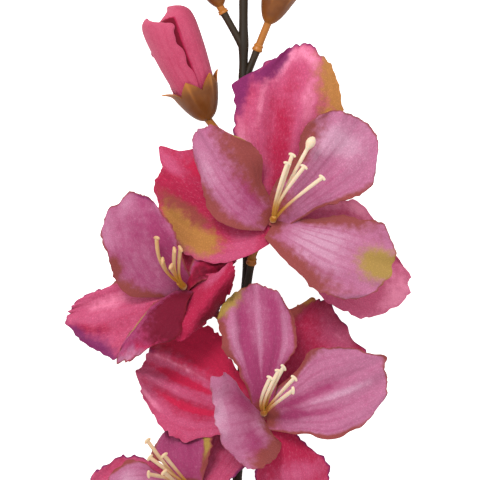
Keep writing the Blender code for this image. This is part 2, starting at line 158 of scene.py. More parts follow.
BLOOMS = {
    "a": Bloom(
        (12.2, 398.4, 31), (0.12, 0.3, 0.95), 366,
        outer=[
            Petal((4, 34, 1), (13, 75, -11), (12, 22, 26, 16), (12, 18, 24, 27), (-0.1, -0.1, 1), 8),
            Petal((-24, 1, 1), (-47, 21, -15), (20, 23, 23, 23), (10, 16, 23, 33),
                  (-0.2, 0, 1), -4, 0.8, 1),
            Petal((26, -14, 1), (59, -27, -31), (18, 24, 22, 15), (12, 19, 24, 26),
                  (0.15, 0.1, 1), 4, 0.8, 2)],
        inner=[
            Petal((-18, 16, 12), (-30, 39, 6), (15, 15, 13, 13), (9, 16, 17, 15), (-0.3, -0.1, 1), -16),
            Petal((19, 18, 11), (38, 43, 2), (11, 12, 17, 24), (9, 15, 22, 24), (0, -0.2, 1), 10, 0.8, 0.6),
            Petal((22, -9, 13), (51, -20, 7), (7, 13, 17, 23), (14, 20, 22, 24),
                  (0, 0.2, 1), -8, 0.8, 1.7)],
        stamens=[(16.8, 34.4, 14), (8.4, 28, 18), (6.3, 24.4, 20), (13.4, 23, 20), (21, 18.5, 18)],
        lean=(0, 1, 0.7)),
    "b": Bloom(
        (-23.1, 369.8, 27), (-0.55, 0.4, 0.73), 345,
        outer=[
            Petal((-23, -5, -2), (-52, -11, -26), (10, 20, 25, 20), (9, 12, 11, 8), (-0.2, 0.2, 1), 4),
            Petal((3, 20, -6), (8, 38, -18), (8, 12, 14, 13), (7, 9, 10, 9),
                  (-0.3, -0.1, 0.9), 8, 0.8, 1.2),
            Petal((7, -7, 23), (12, -9.5, 6), (14, 21, 20, 13), (13, 19, 19, 12),
                  (0.6, -0.55, 0.55), 5, 0.6, 2.4)],
        inner=[
            Petal((-18, 16, 12), (-23, 41, 8), (21, 21, 20, 19), (8, 12, 12, 12), (-0.2, 0, 1), -8),
            Petal((-13, -3, 15), (-28, -29, 7), (9, 15, 14, 9), (3, 3, 4, 6),
                  (-0.2, 0.3, 0.93), -38, 0.6, 0.9),
            Petal((4, 10, 9.6), (20, 13.6, -4), (4, 7, 7.8, 7), (3.5, 5.6, 6.4, 5.6),
                  (-0.4, -0.1, 0.9), 8, 0.6, 2)],
        stamens=[(-13, 22, 15), (-10.5, 12.5, 19), (-5.5, 17, 20), (-3, 17.5, 20), (-7, 10, 22)]),
    "c": Bloom(
        (8.4, 317.3, 31), (0.1, 0.28, 0.95), 294,
        outer=[
            Petal((-27, 6, 0), (-52, 20, -20), (13, 20, 21, 18), (14, 24, 30, 34), (-0.1, 0, 1), -4),
            Petal((13, 28, -2), (27, 47, -20), (9, 13, 15, 14), (12, 23, 30, 31),
                  (0.1, -0.1, 1), 6, 0.8, 1.1),
            Petal((5, -22, 8), (8, -46, -6), (13, 21, 25, 26), (8, 8, 10, 12), (0, 0.1, 1), 4, 0.8, 2.1)],
        inner=[
            Petal((-1, 27, 11), (-3, 55, 2), (7, 14, 18, 21), (7, 14, 17, 18), (0, -0.2, 1), 8),
            Petal((26, 7, 12), (52, 18, 4), (12, 20, 21, 22), (13, 19, 19, 17), (0, 0, 1), 12, 0.8, 0.8),
            Petal((-9, -1, 18), (-20, -3, 23), (18, 22, 23, 22), (14, 20, 22, 22),
                  (0.3, 0.1, 0.95), 4, 0.8, 1.9, 7)],
        stamens=[(3, 16, 18), (6.5, 19, 19), (8.5, 20.5, 20), (13, 16, 22), (12.5, 11, 24)]),
    "d": Bloom(
        (-21, 286, 28), (-0.3, 0.25, 0.92), 262,
        outer=[
            Petal((-22, -2, 1), (-46, -10, -22), (10, 17, 20, 20), (11, 18, 20, 20), (-0.1, 0, 1), 4),
            Petal((10, 17, 2), (17, 31, -14), (8, 12, 14, 13), (13, 15, 13, 12),
                  (-0.2, -0.2, 1), 6, 0.8, 1.3),
            Petal((7, -18, 10), (10, -39, 3), (10, 16, 19, 19), (10, 16, 19, 19),
                  (0, 0.1, 1), 4, 0.8, 2.2)],
        inner=[
            Petal((-19, -1, 12), (-37, -7, 8), (8, 14, 17, 17), (8, 15, 18, 17), (-0.2, 0, 1), -6),
            Petal((-2, 16, 8), (-5, 31, -13), (8, 14, 17, 16), (7, 12, 13, 12), (-0.2, -0.2, 1), 8, 0.8, 1),
            Petal((4, -14, 16), (6, -32, 16), (8, 14, 17, 17), (8, 14, 17, 17),
                  (-0.1, 0.5, 0.85), 8, 0.8, 2)],
        stamens=[(-19, 21, 16), (-18, 14, 18), (-18.5, 7, 19), (-12, 15, 21), (-12, 8, 23)]),
    "e": Bloom(
        (10, 219, 30), (0.1, 0.15, 0.98), 198,
        outer=[
            regular_petal(88, 54, 0.9, 0.02, -0.35, 19, 6),
            regular_petal(205, 58, 0.93, 0.02, -0.85, 20, 4, 1),
            regular_petal(328, 58, 0.93, 0.02, -0.85, 20, 4, 2)],
        inner=[
            regular_petal(148, 50, 0.92, 0.26, 0.14, 16, -8),
            regular_petal(28, 50, 0.94, 0.26, 0.1, 16, 8, 0.7),
            regular_petal(268, 50, 0.9, 0.3, 0.28, 17, 8, 1.6)],
        stamens=[(10, 24, 16), (5, 22, 19), (12, 18, 21), (16, 14, 20), (3, 16, 23)]),
}

BUDS = {
    "bud_1": Bud((-14.7, 441.6, 15), (-0.39, 0.92, 0.06), 421, 0.35, 47.5, 12.2),
    "bud_2": Bud((10.5, 482.4, 13), (0.36, 0.93, 0.05), 457, 0.55, 46, 9),
    "bud_3": Bud((-9.7, 489.5, 12), (-0.34, 0.94, 0.02), 472, 0.85, 40, 7.8),
    "bud_4": Bud((10, 522, 11), (0.4, 0.92, 0), 500, 0.7, 34, 6.6),
    "bud_5": Bud((-6.5, 543, 9), (-0.36, 0.93, 0), 524, 0.7, 29, 5.6),
    "bud_6": Bud((10.5, 566, 7.5), (0.42, 0.91, 0), 547, 0.7, 24, 4.8),
    "bud_7": Bud((3.8, 578, 5.62), (0.16, 0.98, -0.06), 562, 0.7, 20, 4.2),
}
print(len(BLOOMS), "blooms and", len(BUDS), "buds")

# %% [markdown]
# ## What sets one petal apart from the next
# A dyer tips brown, gold, purple or crimson on some places, the press leaves folds, and the cut edge
# frays. A mark is an oval on the petal: its place in s and t, and its reach in s and t. Crimson and
# deep marks are partly dye and partly painted shade, in folds, in the hollow of a cup and under other
# petals. A pale mark is partly where the dye didn't take and partly a painted highlight on satin. A
# bump pushes the outline out or in; its place counts 0 to 1 up the left edge, 1 to 2 over the tip and
# 2 to 3 down the right edge. A fold is a ridge or a valley, given by its s at the claw and at the tip,
# where it starts and ends in t, its width and its height.

# %% Marks, bumps and folds
Look = namedtuple("Look", "marks bumps folds claw tone margin pleats",
                  defaults=({}, (), (), (7, 7), 0.3, 0.7, 1.0))
LOOKS = {
    # Its pale marks are partly painted satin highlights.
    "a_outer_0": Look(
        {"purple": [(0, 0.8, 0.12, 0.2), (0.2, 0.95, 0.16, 0.16)], "gold": [(0.95, 0.92, 0.24, 0.2),
            (0.95, 0.68, 0.16, 0.12)], "brown": [(0.95, 0.5, 0.1, 0.14)],
         "pale": [(0.24, 0.68, 0.04, 0.2), (0.5, 0.95, 0.25, 0.06), (0.08, 0.45, 0.1, 0.16),
            (0.66, 0.7, 0.12, 0.2), (0.34, 0.88, 0.06, 0.1)], "deep": [(0.5, 0.4, 0.12, 0.35)]},
        bumps=[(0.86, 6, 0.09), (0.64, -2, 0.08), (1.02, 3, 0.06)],
        folds=[(0.45, 0.35, 0.15, 0.85, 0.06, -1.8), (0.25, 0.2, 0.25, 0.9, 0.06, 1.4),
            (0.65, 0.6, 0.25, 0.95, 0.07, 1.6), (0.85, 0.85, 0.5, 1, 0.05, -1)], claw=(6, 6)),
    # Its pale marks are partly painted satin highlights.
    "a_outer_1": Look(
        {"purple": [(0.95, 1, 0.1, 0.04)], "gold": [(0.16, 0.72, 0.15, 0.2), (0.16, 0.5, 0.13, 0.16)],
         "brown": [(0.32, 0.7, 0.1, 0.25), (0.3, 0.8, 0.04, 0.1)], "deep": [(0.5, 0.8, 0.1, 0.25)],
         "crimson": [(0.8, 0.7, 0.12, 0.2)], "pale": [(0.6, 0.92, 0.06, 0.12), (0.14, 0.2, 0.14, 0.12),
            (0.03, 0.5, 0.05, 0.3)]}, bumps=[(1, -2, 0.14), (1.67, 9, 0.08)],
        folds=[(0.5, 0.55, 0.45, 1, 0.05, 1.4), (0.4, 0.4, 0.45, 1, 0.05, -1.4),
            (0.25, 0.28, 0.5, 1, 0.05, 1.2), (0.14, 0.1, 0.2, 0.9, 0.05, -0.9)], claw=(10, 10), tone=0.75,
        margin=0.15),
    # Its pale marks are partly its own light pink and partly painted light against the shade it lies in.
    "a_outer_2": Look(
        {"pale": [(0.03, 0.5, 0.1, 0.3), (0.6, 0.95, 0.4, 0.1)]}, claw=(8, 8), tone=0.1, margin=0.1),
    # The wide brown band down its right side is partly dye and partly painted shade where that side turns
    # down.
    "a_inner_0": Look(
        {"brown": [(1, 0.55, 0.42, 0.6), (0, 0.35, 0.16, 0.4), (0.6, 0, 0.5, 0.1)],
         "gold": [(0.98, 0.95, 0.06, 0.1)], "pale": [(0.25, 0.7, 0.2, 0.2)],
         "deep": [(0.6, 0.3, 0.1, 0.2)]}, folds=[(0.75, 0.72, 0.1, 0.95, 0.07, 1.5),
            (0.35, 0.3, 0.1, 0.6, 0.08, 0.8)], claw=(6, 7), tone=0.4, margin=0.45),
    "a_inner_1": Look(
        {"brown": [(0, 0.5, 0.2, 0.5), (1, 0.4, 0.06, 0.45), (0.2, 0.02, 0.5, 0.22)],
         "pale": [(0.3, 0.75, 0.15, 0.2), (0.6, 0.8, 0.2, 0.15)]},
        folds=[(0.5, 0.5, 0.12, 0.8, 0.03, -0.8), (0.35, 0.3, 0.15, 0.9, 0.06, 0.6),
            (0.68, 0.72, 0.15, 0.9, 0.06, 0.6)], claw=(7, 6), tone=0.15),
    "a_inner_2": Look(
        {"brown": [(0, 0.4, 0.19, 0.5), (1, 0.3, 0.22, 0.5), (0.5, 0, 0.5, 0.1)],
         "gold": [(0.5, 0.92, 0.2, 0.18)], "pale": [(0.5, 0.45, 0.3, 0.25)]},
        folds=[(0.45, 0.4, 0.12, 0.85, 0.03, -0.7), (0.62, 0.68, 0.15, 0.9, 0.05, 0.6)], claw=(4, 9),
        tone=0.05),
    "b_outer_0": Look(
        {"purple": [(0, 0.86, 0.26, 0.2), (0.16, 1, 0.22, 0.13)], "deep": [(0.3, 0.85, 0.06, 0.2)],
         "pale": [(0.6, 0.7, 0.2, 0.2)], "brown": [(0.98, 0.62, 0.06, 0.08)]},
        folds=[(0.3, 0.26, 0.4, 1, 0.04, -1.1), (0.42, 0.42, 0.4, 1, 0.05, 1.1),
            (0.58, 0.6, 0.4, 1, 0.04, -0.8), (0.15, 0.12, 0.5, 1, 0.04, 0.8)], claw=(8, 8), tone=0.25,
        margin=0.45),
    # A tone past one makes it all Deep: painted shade where it lies under bloom a.
    "b_outer_1": Look(tone=1.3),
    # Its crimson and deep marks are painted shade over the half that curls down away from the light.
    "b_outer_2": Look(
        {"crimson": [(0.4, 0.9, 0.5, 0.32)], "deep": [(0.4, 0.9, 0.55, 0.35), (0.4, 0.8, 0.5, 0.3)],
         "pale": [(0.1, 0.3, 0.2, 0.2)]}, claw=(9, 9), tone=0.9, margin=0.2, pleats=0.5),
    "b_inner_0": Look(
        {"purple": [(0.75, 1, 0.3, 0.035)], "brown": [(0.02, 0.5, 0.11, 0.12), (0, 0.2, 0.15, 0.2)],
         "pale": [(0.35, 0.92, 0.16, 0.08), (0.08, 0.82, 0.08, 0.12)],
         "deep": [(0.72, 0.45, 0.15, 0.35)]}, bumps=[(0.17, 4, 0.07), (0.86, 3, 0.12), (1.1, 2.5, 0.08)],
        folds=[(0.3, 0.2, 0.3, 0.7, 0.06, 1.2)], claw=(6, 5), tone=0.55),
    # Its crimson and deep marks and a tone past one are painted shade in its hollow; the rim keeps its own
    # colours.
    "b_inner_1": Look(
        {"crimson": [(0, 0.4, 0.75, 0.5), (0.3, 0.35, 0.3, 0.4)], "gold": [(0.9, 0.75, 0.08, 0.14)],
         "deep": [(0.3, 0.3, 0.5, 0.4)], "brown": [(1, 0.45, 0.08, 0.2)], "pale": [(0.3, 0.98, 0.4, 0.12),
            (0.3, 0.98, 0.4, 0.1), (1, 0.3, 0.1, 0.3)]}, bumps=[(1.6, 2, 0.3)], tone=1.2, pleats=0.5),
    # Crimson and a tone past one are painted shade where it lies under bloom a; the pale left edge is
    # partly its own mauve and partly a painted highlight on its lit rim.
    "b_inner_2": Look({"crimson": [(0.6, 0.5, 0.45, 1.2)], "pale": [(0, 0.5, 0.2, 0.6)]}, tone=1.3),
    # The crimson over its upper part is partly dye and partly painted shade under bloom b; the pale and
    # crimson stripes along its pleats are painted highlights and painted shade.
    "c_outer_0": Look(
        {"crimson": [(0.88, 0.7, 0.22, 0.7), (0.56, 0.65, 0.04, 0.32), (0.34, 0.5, 0.04, 0.32)],
         "purple": [(0.68, 1, 0.03, 0.06)], "pale": [(0.45, 0.75, 0.03, 0.25), (0.18, 0.9, 0.08, 0.2),
            (0.65, 0.75, 0.025, 0.25)], "deep": [(0.36, 0.6, 0.12, 0.3)]}, bumps=[(1.62, 1, 0.04)],
        folds=[(0.72, 0.68, 0.3, 1.05, 0.035, 2.2), (0.6, 0.58, 0.3, 1, 0.04, -1.4),
            (0.5, 0.48, 0.3, 1, 0.04, 1.4), (0.38, 0.36, 0.3, 1, 0.04, -1.4),
            (0.26, 0.24, 0.3, 1, 0.04, 1.3), (0.14, 0.13, 0.3, 1, 0.04, -1)], claw=(10, 10), tone=0.25,
        margin=0.15),
    "c_outer_1": Look(
        {"gold": [(0.12, 1, 0.14, 0.1)], "brown": [(0.12, 0.85, 0.12, 0.2)],
         "pale": [(0.75, 0.85, 0.15, 0.12)]}, bumps=[(2.05, 3, 0.15)], claw=(8, 8), tone=0.7),
    "c_outer_2": Look(
        {"deep": [(0.5, 0.25, 0.5, 0.15)], "pale": [(0.3, 0.6, 0.2, 0.1)]}, claw=(8, 6), tone=0.7),
    # Two of its deep marks lie in the valley folds and its middle pale line on the ridge: painted shade and
    # a painted highlight.
    "c_inner_0": Look(
        {"gold": [(0.1, 0.97, 0.2, 0.1)], "brown": [(0, 0.6, 0.1, 0.4), (1, 0.8, 0.05, 0.35),
            (0.5, 0, 0.5, 0.12)], "deep": [(0.3, 0.5, 0.07, 0.35), (0.72, 0.6, 0.08, 0.3),
            (0.5, 0.2, 0.4, 0.25)], "pale": [(0.5, 0.6, 0.04, 0.4), (0.15, 0.6, 0.08, 0.3),
            (0.86, 0.6, 0.06, 0.3)]}, folds=[(0.5, 0.5, 0.1, 0.95, 0.025, 0.4),
            (0.3, 0.25, 0.15, 0.9, 0.05, -1.2), (0.7, 0.75, 0.15, 0.9, 0.05, -1.2)], tone=0.6),
    # Its thin deep lines are partly darker veins and partly painted shade in its folds.
    "c_inner_1": Look(
        {"brown": [(0, 0.35, 0.09, 0.3), (1, 0.45, 0.06, 0.5), (0.2, 1, 0.25, 0.03),
            (0.5, 0.02, 0.5, 0.09)], "deep": [(0.42, 0.4, 0.06, 0.4), (0.66, 0.35, 0.05, 0.3),
            (0.55, 0.2, 0.2, 0.12)], "pale": [(0.53, 0.6, 0.05, 0.3)]}, bumps=[(1.3, 3, 0.08)],
        folds=[(0.45, 0.36, 0.1, 0.95, 0.025, -1.2), (0.62, 0.66, 0.12, 0.9, 0.06, 0.8),
            (0.3, 0.25, 0.15, 0.9, 0.05, 0.6)], tone=0.05),
    # Its deep marks are painted shade in a fold by the throat and in a soft valley.
    "c_inner_2": Look(
        {"deep": [(0.24, 0.4, 0.2, 0.2), (0.75, 0.3, 0.2, 0.25)], "brown": [(0, 0.3, 0.16, 0.4),
            (0.1, 0, 0.35, 0.2)], "pale": [(0.6, 0.9, 0.3, 0.2), (0.35, 0.1, 0.12, 0.2)]},
        bumps=[(2, 3, 0.12)], folds=[(0.35, 0.3, 0.1, 1, 0.06, -1.2), (0.6, 0.6, 0.05, 0.9, 0.08, 1)],
        claw=(11, 4), tone=0.2, margin=0.3),
    "d_outer_1": Look(claw=(8, 10), tone=0.2),
    "d_inner_0": Look({"pale": [(0.8, 0.7, 0.2, 0.2)], "brown": [(1, 0.8, 0.06, 0.3)]}, tone=0.4),
    "d_inner_1": Look(
        {"brown": [(0, 0.7, 0.08, 0.4), (0.92, 0.45, 0.1, 0.35), (0.5, 0.02, 0.5, 0.1)],
         "gold": [(0.9, 0.6, 0.07, 0.25)], "deep": [(0.5, 0.4, 0.08, 0.4)]},
        folds=[(0.35, 0.28, 0.1, 0.95, 0.05, -1.5), (0.5, 0.5, 0.1, 0.95, 0.05, 1.5),
            (0.68, 0.72, 0.1, 0.95, 0.05, -1.5)], tone=0.9),
}
PLAIN_MARKS = {"brown": [(0, 0.4, 0.12, 0.4), (1, 0.4, 0.12, 0.4), (0.5, 0, 0.5, 0.12)]}


def look_of(bloom, layer, index):
    """The petal's own look, or a plain one for those that the picture doesn't show."""
    plain = Look(tone=0.4, claw=(8, 8)) if layer == "outer" else Look(PLAIN_MARKS)
    return LOOKS.get(f"{bloom}_{layer}_{index}", plain)


# %% [markdown]
# ## The cut cloth
# The curve of the middle line, the turn of the edges and the widths give the same surface as the
# solid in the frame. On top of it come the things too fine for a solid: a scalloped, frayed outline,
# soft pleats, pressed folds, a fluttering rim and raised veins.

# %% Where a point of the cloth lies
CLAW_LEVEL = {"outer": 0.45, "inner": 1.95}
CLAW_START = 1.0
CLAW_SHARE = 0.6
CUPPED_FROM = 0.35
ROUND_FROM = 0.4
RIPPLES = 2.2
CLOTH = 0.35
SCALLOP = {"outer": 0.9, "inner": 0.8}
TEETH = {"outer": 0.85, "inner": 0.5}
PLEAT = {"outer": 0.75, "inner": 0.6}
PLEAT_COUNTS = (1.4, 2.3, 3.4)
RIM = 0.9
RIM_FLUTTER = 0.8
VEIN_RISE = 0.16
VEIN_PLACES = np.linspace(-0.78, 0.78, 9)


def outline(dice, look, layer, o):
    """How far the cut edge stands out at the place o round the petal, and how jagged it is there."""
    out = SCALLOP[layer] * soft_line(dice, 22, o * 7)
    for place, amount, width in look.bumps:
        out = out + amount * np.exp(-(((o - place) / width) ** 2))
    teeth = TEETH[layer] * random_line(dice, 90, o * 29)
    return out, teeth


def relief(dice, look, layer, side, t, past):
    """Height of pleats, folds, veins and rim over the plain surface, in millimetres."""
    height = np.zeros_like(t)
    for claw_s, tip_s, first, last, width, rise in look.folds:
        off = (side / 2 + 0.5 - claw_s - (tip_s - claw_s) * t) / width
        before_end = 1 - ramp(last - 0.2, last + 0.05, t)
        height += rise * np.exp(-off**2) * ramp(first, first + 0.2, t) * before_end
    for count in PLEAT_COUNTS:
        lean, phase = dice.uniform(-0.7, 0.7), dice.uniform(0, TAU)
        height += np.sin(math.pi * count * (side + lean * t) + phase) * dice.uniform(0.3, 0.8)
    height *= PLEAT[layer] * look.pleats * ramp(0.12, 0.7, t)
    for vein in VEIN_PLACES:
        wander = vein + 0.05 * np.sin(5 * t + vein * 9)
        shown = ramp(0.1, 0.4, t) * (1 - ramp(0.75, 1, t))
        height += VEIN_RISE * np.exp(-(((side - wander) / 0.03) ** 2)) * shown
    rim = np.maximum(np.abs(side) ** 6 * ramp(0.25, 0.6, t), past**6)
    around = np.where(side > 0, 3 - t, t) + side * past
    height += RIM_FLUTTER * rim * soft_line(dice, 24, np.clip(around * 7.5, 0, 23))
    return height


def lay_petal(petal, look, layer, throat, axis, seed, s, t):
    """Points in millimetres, and for each its place in the flat cut and how near the edge is."""
    dice = np.random.RandomState(seed)
    elbow, tip = np.array(petal.elbow, float), np.array(petal.tip, float)
    outward = unit(elbow - axis * elbow.dot(axis))
    foot = axis * CLAW_LEVEL[layer] + outward * CLAW_START
    side = s * 2 - 1
    past = np.maximum(0, (t - ROUND_FROM) / (1 - ROUND_FROM))
    length = np.linalg.norm(elbow - foot) + np.linalg.norm(tip - elbow)
    edge_side, teeth_side = outline(dice, look, layer, np.where(side > 0, 3 - t, t))
    edge_tip, teeth_tip = outline(np.random.RandomState(seed), look, layer, 1 + s)
    way = np.where(past > 0, ROUND_FROM + (1 - ROUND_FROM) * past * np.sqrt(1 - side**2 / 2), t)
    way = way + (edge_tip * past**2 + teeth_tip * past**14) / length
    middle, along = bend(foot, elbow, tip, way)
    ease = (way * way * (3 - 2 * way))[..., None]
    face = unit(axis * (1 - ease) + unit(np.array(petal.face, float)) * ease)
    across = unit(np.cross(along, face))
    normal = np.cross(across, along)
    left = through((min(look.claw[0], petal.left[0] * CLAW_SHARE), *petal.left), t)
    right = through((min(look.claw[1], petal.right[0] * CLAW_SHARE), *petal.right), t)
    half = np.where(side > 0, right, left) * np.sqrt(1 - past**2 / 2)
    half = half + (edge_side * side**2 + teeth_side * np.abs(side) ** 14) * ramp(0.1, 0.35, t)
    turn = np.radians(petal.cup) * np.minimum(1, t / CUPPED_FROM) + 1e-5
    sideways = half * np.sin(turn * np.abs(side)) / turn * np.sign(side)
    forward = half * (1 - np.cos(turn * side)) / turn
    lap = np.sin(TAU * RIPPLES * t + petal.phase + side)
    forward += petal.ripple * np.abs(side) ** 3 * lap * np.sin(math.pi * np.minimum(t, 0.9))
    forward += relief(dice, look, layer, side, t, past)
    point = throat + middle + across * sideways[..., None] + normal * forward[..., None]
    drawn_back = ramp(0, 0.12, t) * (1 - ramp(0.15, 0.7, t)) * (side < 0)
    point = point - along * (petal.sweep * side**2 * drawn_back)[..., None]
    point[..., 2] = np.maximum(point[..., 2], CLOTH / 2)
    edge = np.minimum(half * (1 - np.abs(side)), (1 - t) * length)
    return point, np.stack([side * half, way * length, np.zeros_like(t)], -1), np.exp(-((edge / RIM) ** 2))


# %% [markdown]
# ## From a grid to cloth with two faces
# Blender's grid gives the points in even rows. They are moved closer together towards the edges,
# where the frayed outline needs them, and then each goes to its place. A Solidify modifier gives the
# cloth its thickness, with the first half of the points on the front and the second on the back, so
# the back can be coloured darker. Values kept on each point tell the material where it is, how much
# of each dye it took, and where painted shade and highlight lie on it.

# %% Making one petal
ACROSS, ALONG = 56, 76
SHEET_STEP = 31.0


def grid(name, across, along):
    """A flat grid as a mesh, with the s and t of each of its points."""
    flat = bmesh.new()
    bmesh.ops.create_grid(flat, x_segments=across, y_segments=along, size=0.5)
    mesh = bpy.data.meshes.new(name)
    flat.to_mesh(mesh)
    flat.free()
    place = np.empty(len(mesh.vertices) * 3, np.float32)
    mesh.vertices.foreach_get("co", place)
    place = place.reshape(-1, 3).astype(float) + 0.5
    return mesh, place[:, 0], place[:, 1]


def move_to(mesh, points):
    """Puts the mesh's points at places in millimetres."""
    mesh.vertices.foreach_set("co", in_frame(points).astype(np.float32).ravel())


def keep_values(mesh, name, kind, values):
    """Stores one value per point under a name that a material can read."""
    layer = mesh.attributes.new(name, kind, "POINT")
    field = {"FLOAT_VECTOR": "vector", "FLOAT_COLOR": "color", "FLOAT": "value"}[kind]
    layer.data.foreach_set(field, np.ascontiguousarray(values, np.float32).ravel())


def show(name, data):
    """Puts a mesh, curve, lamp or camera in the scene, as an object."""
    made = bpy.data.objects.new(name, data)
    bpy.context.scene.collection.objects.link(made)
    return made


def settled(source, name):
    """The object's mesh with its modifiers done, as a new object; the source goes."""
    bpy.context.view_layer.update()
    mesh = bpy.data.meshes.new_from_object(source.evaluated_get(bpy.context.evaluated_depsgraph_get()))
    bpy.data.objects.remove(source)
    mesh.name = name
    return show(name, mesh)


DYE_AND_SHADE_KINDS = ("brown", "gold", "purple", "crimson")
EDGE_DYE = {"inner": "brown", "outer": "purple"}
SHADES = {"pale": -0.9, "deep": 0.7}


def dyes_and_painted_light(look, layer, rim, s, t):
    """Brown, gold, purple and crimson at each point, from 0 to 1, and how pale or deep the ground is;
    partly painted shade and highlight.
    """
    amount = np.zeros((len(s), 4))
    tone = np.full_like(s, look.tone)
    for kind, places in look.marks.items():
        for s0, t0, reach_s, reach_t in places:
            oval = np.exp(-(((s - s0) / reach_s) ** 2) - ((t - t0) / reach_t) ** 2)
            if kind in SHADES:
                tone += oval * SHADES[kind]
            else:
                amount[:, DYE_AND_SHADE_KINDS.index(kind)] = np.maximum(amount[:, DYE_AND_SHADE_KINDS.index(kind)], oval)
    edge = DYE_AND_SHADE_KINDS.index(EDGE_DYE[layer])
    amount[:, edge] = np.maximum(amount[:, edge], rim * look.margin)
    return amount, tone


def keep_look(mesh, s, t, cut, amount, tone, number):
    keep_values(mesh, "place", "FLOAT_VECTOR", np.stack([s, t, tone], -1))
    keep_values(mesh, "cut", "FLOAT_VECTOR", cut + np.array([0, 0, SHEET_STEP * number]))
    keep_values(mesh, "dye_and_painted_shade", "FLOAT_COLOR", amount)


def close_seam(source):
    """Joins the points of a rolled sheet where its two edges meet."""
    weld = source.modifiers.new("close", "WELD")
    weld.merge_threshold = 0.01 * MM


def thicken(source, count):
    """Turns a sheet into cloth with a front and a back, and tells them apart."""
    shell = source.modifiers.new("thickness", "SOLIDIFY")
    shell.thickness = CLOTH * MM
    shell.offset = 0
    cloth = settled(source, source.name)
    back = np.zeros(len(cloth.data.vertices))
    back[count:] = 1
    keep_values(cloth.data, "back", "FLOAT", back)
    return cloth


def petal_cloth(name, petal, look, layer, throat, axis, seed):
    mesh, s, t = grid(name, ACROSS, ALONG)
    s, t = s - 0.07 * np.sin(TAU * s), t + 0.08 * np.sin(math.pi * t)
    points, cut, rim = lay_petal(petal, look, layer, throat, axis, seed, s, t)
    move_to(mesh, points)
    amount, tone = dyes_and_painted_light(look, layer, rim, s, t)
    keep_look(mesh, s, t, cut, amount, tone, seed)
    return thicken(show(name, mesh), len(s))


# %% Joining pieces into one
def join(name, pieces):
    """One object of the pieces' meshes, shaded smooth but for its sharp edges."""
    with bpy.context.temp_override(active_object=pieces[0], object=pieces[0],
                                   selected_objects=pieces, selected_editable_objects=pieces):
        bpy.ops.object.join()
    joined = pieces[0]
    joined.name = joined.data.name = name
    joined.data.shade_smooth()
    joined.data.set_sharp_from_angle(angle=math.radians(60))
    return joined


def dress(piece, finish, slot, *nodes):
    """Gives a piece its material and lets it stand for its solids on the stem; slot is not used."""
    piece.data.materials.clear()
    piece.data.materials.append(finish)
    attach(piece, "root")
    if nodes:
        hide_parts(*nodes)
    return piece


# %% [markdown]
# ## Shader building blocks
# Materials here are node trees. A tiny helper adds a node, sets its properties and plugs in either
# numbers or other nodes' outputs, so that each tree reads from its source to its result.

# %% Node helpers
def plug(tree, node, values):
    """Gives a node's inputs their numbers, or links them to other nodes' outputs."""
    for key, value in values.items():
        if isinstance(value, bpy.types.NodeSocket):
            tree.links.new(value, node.inputs[key])
        else:
            node.inputs[key].default_value = value


def add(tree, kind, values=None, **settings):
    node = tree.nodes.new(kind)
    for key, value in settings.items():
        setattr(node, key, value)
    plug(tree, node, values or {})
    return node


def sums(tree, operation, a, b=0.0, c=0.0):
    """The result of one Math node."""
    return add(tree, "ShaderNodeMath", {0: a, 1: b, 2: c}, operation=operation).outputs[0]


def blend_colours(tree, factor, a, b, kind="MIX"):
    """Colour a at factor 0 and colour b at factor 1."""
    return add(tree, "ShaderNodeMix", {0: factor, 6: a, 7: b}, data_type="RGBA", blend_type=kind).outputs[2]


def within(tree, value, low, high):
    """Maps low..high to 0..1, softly and with the ends held."""
    ends = {0: value, 1: low, 2: high}
    return add(tree, "ShaderNodeMapRange", ends, interpolation_type="SMOOTHSTEP").outputs[0]


def noise(tree, place, scale, detail, roughness=0.5):
    values = {"Vector": place, "Scale": scale, "Detail": detail, "Roughness": roughness}
    return add(tree, "ShaderNodeTexNoise", values).outputs[0]


def kept(tree, name):
    """The outputs that read a value kept on each point."""
    return add(tree, "ShaderNodeAttribute", attribute_name=name).outputs


def blend_partly(tree, share, mask, a, b):
    """Colour a, going share of the way to colour b where the mask is 1."""
    return blend_colours(tree, sums(tree, "MULTIPLY", mask, share), a, b)


def bump(tree, height, strength, distance):
    values = {"Strength": strength, "Distance": distance, "Height": height}
    return add(tree, "ShaderNodeBump", values).outputs[0]


def group(name, inputs, outputs):
    tree = bpy.data.node_groups.new(name, "ShaderNodeTree")
    for side, sockets in (("INPUT", inputs), ("OUTPUT", outputs)):
        for label, kind, default in sockets:
            socket = tree.interface.new_socket(label, in_out=side, socket_type="NodeSocket" + kind)
            if default is not None:
                socket.default_value = default
    return tree, tree.nodes.new("NodeGroupInput").outputs, tree.nodes.new("NodeGroupOutput").inputs


def use(tree, made, inputs=None):
    return add(tree, "ShaderNodeGroup", inputs, node_tree=made).outputs


def new_material(name):
    finish = bpy.data.materials.new(name)
    finish.use_nodes = True
    return finish, finish.node_tree, finish.node_tree.nodes["Principled BSDF"]


# %% [markdown]
# ## Dyed silk, with painted sheen and shade
# The cloth is white satin that was dyed, tipped by airbrush and pressed. Ground is its main colour.
# Deep is a darker tone of the same dye, laid along the veins and towards the claw; where the marks and
# the tone call for it in folds, hollows and under other petals it is painted shade. Pale is partly
# where little dye took and partly a painted highlight on satin. A fine speckle of both lies over the
# threads as a painted satin sheen. Brown, gold, purple and crimson come from the marks that each petal
# carries, with their rims broken up by noise, as dye creeps in cloth, and crimson goes almost black
# where the tone is deepest, as painted deep shade. The back of the cloth is blended towards Deep,
# darker than the front.

